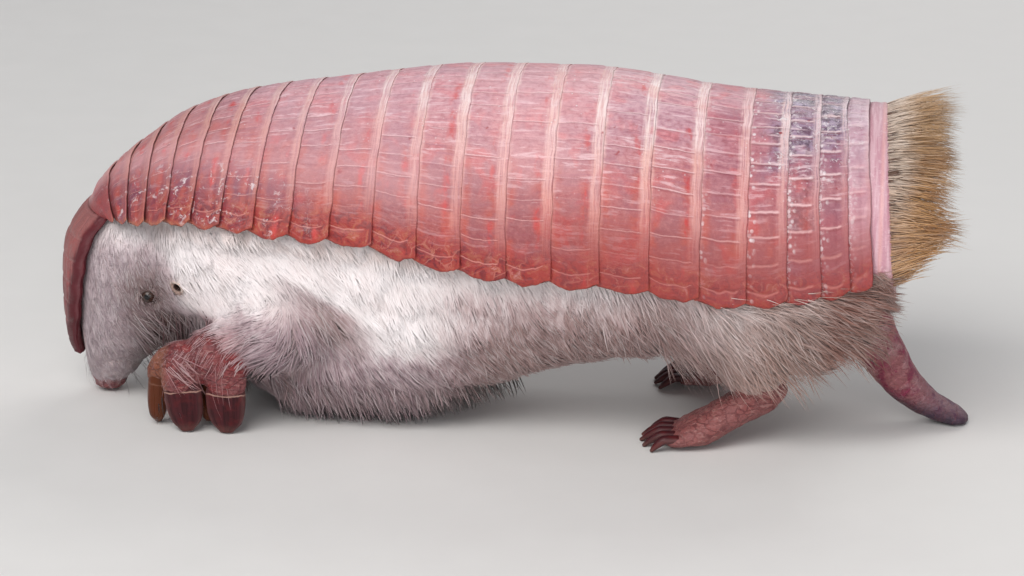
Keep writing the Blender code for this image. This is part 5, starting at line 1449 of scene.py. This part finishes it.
# --- rump plate and head shield ----------------------------------------------------------------------------------
def scuted_material(name, low, high, pale, dark, blood, facing_dark=0.0):
    """Bony skin in rounded scutes. attribute cell holds row and column coordinates, whole numbers on the lines."""
    tree = Tree(name)
    spot = tree.place()
    x, y, z = tree.split(spot)
    row, column, edge = tree.split(tree.attribute("cell"))
    fine = tree.noise(spot, 1.7, 4, 0.6)
    broad = tree.noise(spot, 0.3, 3, 0.5)
    random = tree.white(tree.join(tree.math("FLOOR", row), tree.math("FLOOR", column), 2.5))
    colour = tree.mix(tree.span(broad, 0.35, 0.65), low, high)
    colour = tree.mix(tree.times(random, 0.4), colour, dark)
    colour = tree.mix(tree.times(tree.span(fine, 0.5, 0.7), 0.4), colour, pale)
    colour = tree.mix(tree.times(tree.span(tree.noise(spot, 0.5, 3, 0.6), 0.55, 0.68), blood), colour, (0.42, 0.03, 0.03))
    near_row = tree.math("ABSOLUTE", tree.minus(row, tree.math("ROUND", row)))
    near_column = tree.math("ABSOLUTE", tree.minus(column, tree.math("ROUND", column)))
    line = tree.math("MAXIMUM", tree.span(near_row, 0.085, 0.02), tree.span(near_column, 0.085, 0.02))
    line = tree.times(line, tree.span(edge, 0.2, 0.6), tree.span(fine, 0.25, 0.5, 0.5, 1.0))
    colour = tree.mix(tree.times(line, 0.42), colour, pale)
    wrinkle = tree.noise(spot, 3.2, 4, 0.65)
    tree.bump(tree.plus(tree.times(wrinkle, 0.8), tree.times(line, -0.5)), 0.0002, 0.7)
    return tree, spot, colour, fine, line


def plate_piece():
    tree, spot, colour, fine, line = scuted_material("rump_scutes", (0.50, 0.24, 0.27), (0.64, 0.36, 0.39), (0.84, 0.66, 0.66), (0.38, 0.15, 0.20), 0.25)
    x, y, z = tree.split(spot)
    rho = tree.split(tree.attribute("cell"))[2]
    rim = tree.span(rho, 0.75, 0.45)
    stripes = tree.noise(tree.scaled(spot, 2.4, 0.15, 0.15), 1.0, 3, 0.6)
    lilac = tree.mix(tree.span(stripes, 0.4, 0.62), (0.56, 0.28, 0.34), (0.68, 0.42, 0.475))
    lilac = tree.mix(tree.times(tree.span(tree.plus(x, tree.times(fine, 0.4)), 48.9, 48.5), tree.span(x, 47.9, 48.3), 0.55), lilac, (0.78, 0.40, 0.38))
    fleshy = tree.mix(tree.span(fine, 0.42, 0.58), (0.20, 0.045, 0.042), (0.42, 0.17, 0.14))
    lilac = tree.mix(tree.times(tree.span(tree.plus(z, tree.times(fine, 3.0)), 26.0, 22.6), 0.92), lilac, fleshy)
    lilac = tree.mix(tree.times(tree.span(fine, 0.55, 0.7), 0.4), lilac, (0.82, 0.62, 0.66))
    colour = tree.mix(rim, colour, lilac)
    look = tree.finish(colour, tree.span(fine, 0.3, 0.7, 0.38, 0.55), Coat_Weight=0.1, Coat_Roughness=0.35)
    degrees = np.arange(0, 360, 2.0)
    rows, cells, edges_ = [], [], []

    def ring(x_off, lift, edge, row):
        y, z = outline(degrees, lift)
        rows.append(np.stack([rim_x(z) + x_off, y, z], -1))
        cells.append(np.full(len(degrees), row))
        edges_.append(np.full(len(degrees), edge))

    # tucked under the last band, then the smooth rim, then the scuted face
    ring(-0.85, -1.6, 0, 0)
    ring(-0.85, -0.75, 0, 0)
    ring(-0.45, -0.30, 0, 0)
    ring(-0.05, -0.04, 0, 0)
    for s in (0.25, 0.5, 0.75):
        ring(PLATE_THICK * s, 0.05 * math.sin(s * 9), 0, 0)
    ring(PLATE_THICK * 0.88, -0.06, 0, 0)
    ring(PLATE_THICK * 0.98, -0.28, 0.1, 0)
    ring(PLATE_THICK + 0.02, -0.75, 0.3, 0)
    ring(PLATE_THICK - 0.02, -1.8, 0.6, 0.1)
    steps = 44
    circle = np.cos(np.radians(degrees)), np.sin(np.radians(degrees))
    for i in range(1, steps + 1):
        share = i / steps * 0.97
        y, z = outline(degrees, -1.8)
        y, z = y * (1 - share), PLATE_Z + 1.2 * share + (z - PLATE_Z) * (1 - share)
        row = 0.1 + share * 5.4 + 0.16 * noise(np.stack([circle[0] * 2.4, circle[1] * 2.4, 0 * degrees + i * 0.03], -1), 81) * math.sin(math.pi * min(1, share * 1.4))
        column = degrees / 360 * (26 - 0 * share) * 1.0
        row_no = np.floor(row)
        count = np.maximum(6, np.round(30 * (1 - (row_no + 0.5) / 5.6)))
        column = degrees / 360 * count + 0.5 * (row_no % 2)
        near_row = np.abs(row - np.round(row))
        near_column = np.abs(column - np.round(column))
        size_c = 2 * np.pi * 11 * (1 - share) / count
        groove = 0.16 * np.exp(-((near_row * 2.4 / 0.22) ** 2)) + 0.14 * np.exp(-((near_column * size_c / 0.22) ** 2))
        dome = 0.5 * math.sin(share * math.pi / 2) + 0.08 * noise(np.stack([circle[0] * 4, circle[1] * 4, 0 * degrees + i * 0.3], -1), 82)
        rows.append(np.stack([rim_x(z) + PLATE_THICK + dome - groove, y, z], -1))
        cells.append(np.stack([row, column], -1))
        edges_.append(np.full(len(degrees), 1.0))
    cell = []
    for c, e in zip(cells, edges_):
        pair = c if c.ndim == 2 else np.stack([c + 0.5, np.full(len(degrees), 0.5)], -1)
        cell.append(np.column_stack([pair, e]))
    points, faces = loft(rows)
    attribute = np.concatenate([np.concatenate(cell), [[0.5, 0.5, 0], [5.5, 0.5, 1]]])
    piece = make("rump_plate_scutes", points, faces, look, ("rump_plate",), {"cell": attribute})
    turn_out(piece)
    return piece


plate_piece()


def shield_piece():
    tree, spot, colour, fine, line = scuted_material("head_scutes", (0.165, 0.034, 0.037), (0.30, 0.095, 0.092), (0.42, 0.20, 0.20), (0.080, 0.010, 0.020), 0.5)
    x, y, z = tree.split(spot)
    edge = tree.split(tree.attribute("cell"))[2]
    # painted shadow along the shield's edges, where it meets the fur
    colour = tree.mix(tree.times(tree.span(edge, 1.0, 0.35), 0.92), colour, (0.085, 0.004, 0.010))
    colour = tree.mix(tree.times(tree.span(z, 15.0, 23.5), tree.span(edge, 0.4, 1.0), 0.6), colour, (0.38, 0.145, 0.135))
    look = tree.finish(colour, tree.span(fine, 0.3, 0.7, 0.38, 0.54), Coat_Weight=0.08, Coat_Roughness=0.3, Specular_IOR_Level=0.35)
    n_z, n_a = 72, 64
    high = SHIELD_TOP + 1.0
    zs = np.linspace(SHIELD_LOW, high, n_z)
    share = (zs - SHIELD_LOW) / (high - SHIELD_LOW)
    spread = np.radians(30 + 22 * share**0.8) * np.sqrt(np.clip(share / 0.32, 0.10, 1)) * (1 + 0.016 * np.sin(share * 2 * np.pi * 6.5))
    front, back, half = smooth(HEAD, zs).T
    length = back - front
    u = np.linspace(-1, 1, n_a)
    a = spread[:, None] * u
    c, s = np.cos(a), np.sin(a)
    row = share[:, None] * 7.0 + 0 * u
    row_no = np.floor(row)
    column = u[None] * (3.2 + 2.3 * share[:, None]) + 0.5 * (row_no % 2)
    near_row, near_column = np.abs(row - np.round(row)), np.abs(column - np.round(column))
    groove = 0.13 * np.exp(-((near_row / 0.09) ** 2)) + 0.13 * np.exp(-((near_column / 0.09) ** 2))
    border = np.minimum(np.minimum(share[:, None] * 19.0, (1 - share[:, None]) * 19 + 2), (1 - np.abs(u))[None] * (spread * half)[:, None])
    thick = 0.95 * np.sqrt(np.clip(1 - (1 - np.clip(border / 0.8, 0, 1)) ** 2, 0, 1))
    base = GAP + 0.35

    def surface(off):
        return np.stack([(front + length * HEAD_WIDEST)[:, None] - ((length * HEAD_WIDEST)[:, None] + off) * c**0.88, (half[:, None] + off) * np.sign(s) * np.abs(s) ** 0.88, zs[:, None] + 0 * u], -1)

    outer = surface(base + thick * 0.95 - groove * step_up(border, 0.3, 1.0))
    inner = surface(base - thick * 0.7)
    grid = np.concatenate([outer, inner[:, ::-1]], 1)
    index = np.arange(grid.shape[0] * grid.shape[1]).reshape(grid.shape[:2])
    p, q = index[:-1], index[1:]
    faces = np.stack([p, np.roll(p, -1, 1), np.roll(q, -1, 1), q], -1).reshape(-1, 4).tolist()
    for line_index in (index[0], index[-1]):
        faces += [(int(line_index[j]), int(line_index[j + 1]), int(line_index[2 * n_a - 2 - j]), int(line_index[2 * n_a - 1 - j])) for j in range(n_a - 1)]
    values = np.stack([row, column, np.clip(border / 1.6, 0, 1)], -1)
    back_values = values[:, ::-1] * [1, 1, 0]
    cell = np.concatenate([values, back_values], 1).reshape(-1, 3)
    piece = make("head_shield_scutes", grid.reshape(-1, 3), faces, look, ("head_shield",), {"cell": cell})
    turn_out(piece)
    return piece


shield_piece()


# --- eyes and claws --------------------------------------------------------------------------------------------------
def eye_material():
    tree = Tree("eye_dark")
    spot = tree.place()
    fine = tree.noise(spot, 2.5, 3, 0.5)
    x, y, z = tree.split(spot)
    centre = tree.math("SQRT", tree.plus(tree.math("POWER", tree.minus(x, EYE[0]), 2.0), tree.math("POWER", tree.minus(z, EYE[2]), 2.0)))
    colour = tree.mix(tree.span(centre, 0.30, 0.42), (0.004, 0.003, 0.004), tree.mix(fine, (0.03, 0.016, 0.012), (0.06, 0.03, 0.022)))
    colour = tree.mix(tree.span(centre, 0.62, 0.80), colour, (0.045, 0.022, 0.020))
    tree.bump(fine, 0.00003, 0.3)
    return tree.finish(colour, tree.span(fine, 0.2, 0.8, 0.20, 0.30), Coat_Weight=0.22, Coat_Roughness=0.10, Specular_IOR_Level=0.35)


eye_look = eye_material()
for side, word in ((1, "left"), (-1, "right")):
    middle = np.array([EYE[0], EYE[1] * side, EYE[2]])
    # the ball lies in the socket, its front level with the lids
    opening = skin_co[np.argsort(np.linalg.norm((skin_co - middle) * [1, 0.3, 1], axis=1))[:400]]
    lid_level = np.percentile(np.abs(opening[:, 1]), 92)
    centre = (EYE[0], -side * (lid_level - EYE_R * 0.90) , EYE[2])
    points, faces = ball(centre, (EYE_R, EYE_R, EYE_R), 22, 32)
    bulge = np.exp(-((np.hypot(points[:, 0] - centre[0], points[:, 2] - centre[2]) / 0.42) ** 2)) * (np.sign(points[:, 1] - centre[1]) == -side)
    points[:, 1] += -side * 0.06 * bulge
    piece = make(f"eyeball_{word}", points, faces, eye_look, (f"eye_{word}",))
    turn_out(piece)


def claw_material():
    tree = Tree("claw_horn")
    spot = tree.place()
    x, y, z = tree.split(spot)
    across, along, kind = tree.split(tree.attribute("claw"))
    streaks = tree.noise(tree.join(tree.times(across, 5.0), tree.times(along, 0.7), kind), 1.0, 4, 0.6)
    cloud = tree.noise(spot, 0.8, 3, 0.5)
    colour = tree.mix(tree.span(streaks, 0.35, 0.65), (0.028, 0.005, 0.007), (0.066, 0.013, 0.017))
    colour = tree.mix(tree.times(tree.span(cloud, 0.45, 0.65), 0.6), colour, (0.105, 0.012, 0.014))
    edge = tree.span(tree.math("ABSOLUTE", across), 0.66, 0.98)
    colour = tree.mix(tree.times(edge, 0.35), colour, (0.20, 0.09, 0.085))
    colour = tree.mix(tree.times(tree.span(along, 0.82, 1.0), 0.3), colour, (0.17, 0.085, 0.070))
    colour = tree.mix(tree.times(tree.bump_at(tree.plus(along, tree.times(tree.minus(cloud, 0.5), 0.10)), 0.235, 0.022), tree.span(kind, -0.8, -0.2), 0.8), colour, (0.50, 0.30, 0.24))
    colour = tree.mix(tree.times(tree.span(kind, 0.2, 0.5), 0.80), colour, (0.115, 0.030, 0.009))
    height = tree.plus(tree.times(streaks, 0.8), tree.times(tree.noise(spot, 4.0, 3), 0.3))
    tree.bump(height, 0.00016, 0.6)
    return tree.finish(colour, tree.span(streaks, 0.3, 0.7, 0.26, 0.42), Coat_Weight=0.0, Coat_Roughness=0.22, Specular_IOR_Level=0.20, Subsurface_Weight=0.1, Subsurface_Scale=0.0008, Subsurface_Radius=(1.0, 0.4, 0.3))


claw_look = claw_material()


def claw(rows, mirror, side=(1, 0, 0), kind=0.0, rings=22, around=24, square=2.3, ridge=0.10):
    """A broad horn, flatter inside, domed and finely ridged outside, ending in a rounded blade."""
    ring, stops, ahead = tube_rings(rows, rings, around, side, 0.0, mirror, square)
    a = 2 * np.pi * np.arange(around) / around
    along = np.linspace(0, 1, rings)
    out_side = np.sin(a) if mirror < 0 else -np.sin(a)
    outward = unit(ring - stops[:, None, :3])
    lines = ridge * 0.35 * np.cos(np.arccos(np.clip(np.cos(a), -1, 1)) * 9)
    ring = ring + outward * (lines * (1 - 0.5 * along)[:, None])[..., None]
    caps = []
    for share in (0.9, 0.62, 0.3):
        push = math.sqrt(1 - share * share)
        caps.append(stops[-1, :3] + (ring[-1] - stops[-1, :3]) * share + ahead[-1] * stops[-1, 4] * 0.9 * push)
    full = np.concatenate([ring, np.array(caps)])
    points, faces = loft(full, None, stops[-1, :3] + ahead[-1] * stops[-1, 4] * 0.9)
    across = np.tile(np.cos(a), (len(full), 1))
    length = np.concatenate([along, [1.0, 1.0, 1.0]])[:, None] + 0 * a
    values = np.stack([across, length, np.full(across.shape, kind)], -1).reshape(-1, 3)
    values = np.concatenate([values, [[0, 0, kind], [0, 1, kind]]])
    points[:, 2] = np.maximum(points[:, 2], 0.0)
    return points, faces, values


for mirror, word in ((-1, "left"), (1, "right")):
    for number, (x, y, z, wide, tip_x, tip_y) in enumerate(FORE_CLAWS):
        big = wide > 2
        rows = [
            (x + 0.02 * (tip_x - x), y + 0.1, z + 0.25, wide * 0.80, 1.0),
            (x + 0.25 * (tip_x - x), y + 0.25, z * 0.80, wide * 0.94, 1.1),
            (x + 0.60 * (tip_x - x), y + 0.25, z * 0.50, wide * 0.90, 0.92),
            (x + 0.85 * (tip_x - x), y + 0.10, z * 0.22, wide * 0.72, 0.66),
            (tip_x, tip_y, 0.42, wide * (0.36 if big else 0.36), 0.36),
        ]
        points, faces, values = claw(rows, mirror, kind=0.0 if number in (1, 2) else 1.0)
        piece = make(f"claw_fore_{word}_{number + 1}_horn", points, faces, claw_look, (f"claw_fore_{word}_{number + 1}",), {"claw": values})
        turn_out(piece)
    all_points, all_faces, all_values = [], [], []
    for number in range(5):
        share = number / 4 * 2 - 1
        length = HIND_CLAW * (1 - 0.25 * share**2 - 0.08 * share)
        y = 11.2 + share * 2.9
        rows = [(25.6, y + share * 0.05, 1.45, 0.62, 0.55), (25.2 - length * 0.35, y + share * 0.35, 1.5, 0.72, 0.55), (25.4 - length * 0.75, y + share * 0.6, 0.85, 0.55, 0.42), (25.6 - length, y + share * 0.8, 0.24, 0.28, 0.22)]
        points, faces, values = claw(rows, mirror, (0, 1, 0), -1.0, 14, 14, 2.1, 0.05)
        base = sum(len(p) for p in all_points)
        all_points.append(points)
        all_faces += [tuple(v + base for v in f) for f in faces]
        all_values.append(values)
    piece = make(f"claws_hind_{word}", np.concatenate(all_points), all_faces, claw_look, (), {"claw": np.concatenate(all_values)})
    turn_out(piece)


# --- longer hairs at the hind corner of the shell, round the tail's base and on the muzzle -------------------------
def build_tufts():
    root, normal, uv, _ = skin_samples(150000)
    x, y, z = root.T
    side = np.sign(y)
    edge = smooth(EDGE, x)
    parts = []

    def grow(chosen, limit, direction, length, width, lift, droop=0.0, bend=0.10):
        index = np.flatnonzero(chosen)
        index = np.sort(RNG.choice(index, min(limit, len(index)), replace=False))
        n = len(index)
        v = np.stack([np.full(n, direction[0]), direction[1] * side[index], np.full(n, direction[2])], -1)
        v = v + 0.16 * RNG.standard_normal((n, 3))
        parts.append((root[index], unit(v), normal[index], length * (0.6 + 0.6 * RNG.random(n)), width * (0.8 + 0.4 * RNG.random(n)), lift * (0.6 + 0.8 * RNG.random(n)), uv[index], np.full(n, droop) * (0.5 + RNG.random(n)), bend * RNG.standard_normal(n)))

    below = edge - z
    grow((x > 27) & (x < 42) & (below > -0.4) & (below < 1.6) & (np.abs(y) > 9), 900, (0.93, 0.16, 0.02), 6.6, 0.12, 0.10, 0.14)
    grow((x > 37) & (x < 44.6) & (z > 13) & (below > 0.2) & (np.abs(y) > 5), 1100, (0.90, 0.10, -0.30), 5.6, 0.12, 0.12, 0.14)
    grow((x > 38.5) & (x < 44.9) & (z > 15.0) & (z < 21.5) & (np.abs(y) > 8), 800, (0.96, 0.10, -0.06), 6.2, 0.11, 0.24, 0.08)
    grow((x > 44.0) & (x < 49.5) & (z > 8.5) & (z < 18.5) & (np.abs(y) < 5), 260, (0.45, 0.25, -0.85), 2.6, 0.09, 0.12)
    grow((x > 23.0) & (x < 40.0) & (z > 10.5) & (z < 17.5) & (np.abs(y) > 7), 1500, (0.66, 0.10, -0.70), 5.2, 0.10, 0.22, 0.02)
    # whiskers and longer hairs of the cheek and chin
    grow((x < -40.0) & (z < 6.5) & (z > 2.2), 70, (0.35, 0.60, -0.30), 3.4, 0.05, 0.5)
    grow((x < -33.5) & (x > -41) & (z > 8) & (z < 13.5) & (np.abs(y) > 4), 900, (0.72, 0.10, -0.62), 4.0, 0.11, 0.16)
    # throat hair that fills the space between cheek and hand
    grow((x > -37.5) & (x < -28.5) & (z < 13.0) & (normal[:, 2] < 0.2) & (np.abs(y) < 13), 2600, (0.16, 0.12, -0.96), 4.6, 0.16, 0.05)
    # hanging hair where the chest lies on the ground
    grow((x > -24.0) & (x < 14.0) & (z < 6.5) & (z > 0.5) & (normal[:, 2] < 0.25) & (np.abs(y) > 5), 2600, (0.52, 0.42, -0.74), 3.0, 0.13, 0.16, 0.05)
    root_, ahead, normal_, length, width, lift, uv_, droop, bend = (np.concatenate([p[i] for p in parts]) for i in range(9))
    random = np.clip(0.55 + 0.3 * RNG.standard_normal(len(root_)), 0, 1)
    return strands("tuft_hair", root_, ahead, normal_, length, width, lift, lift * 0.9, fur_material("tuft_hair", coat_colour, 0.45, 0.15), uv_, random, bend, None, 3, 9000, droop)


build_tufts()


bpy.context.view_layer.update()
total = 0
for item in bpy.data.objects:
    if item.type == "MESH" and item.name != "floor":
        item.data.calc_loop_triangles()
        total += len(item.data.loop_triangles)
print("total triangles", total)
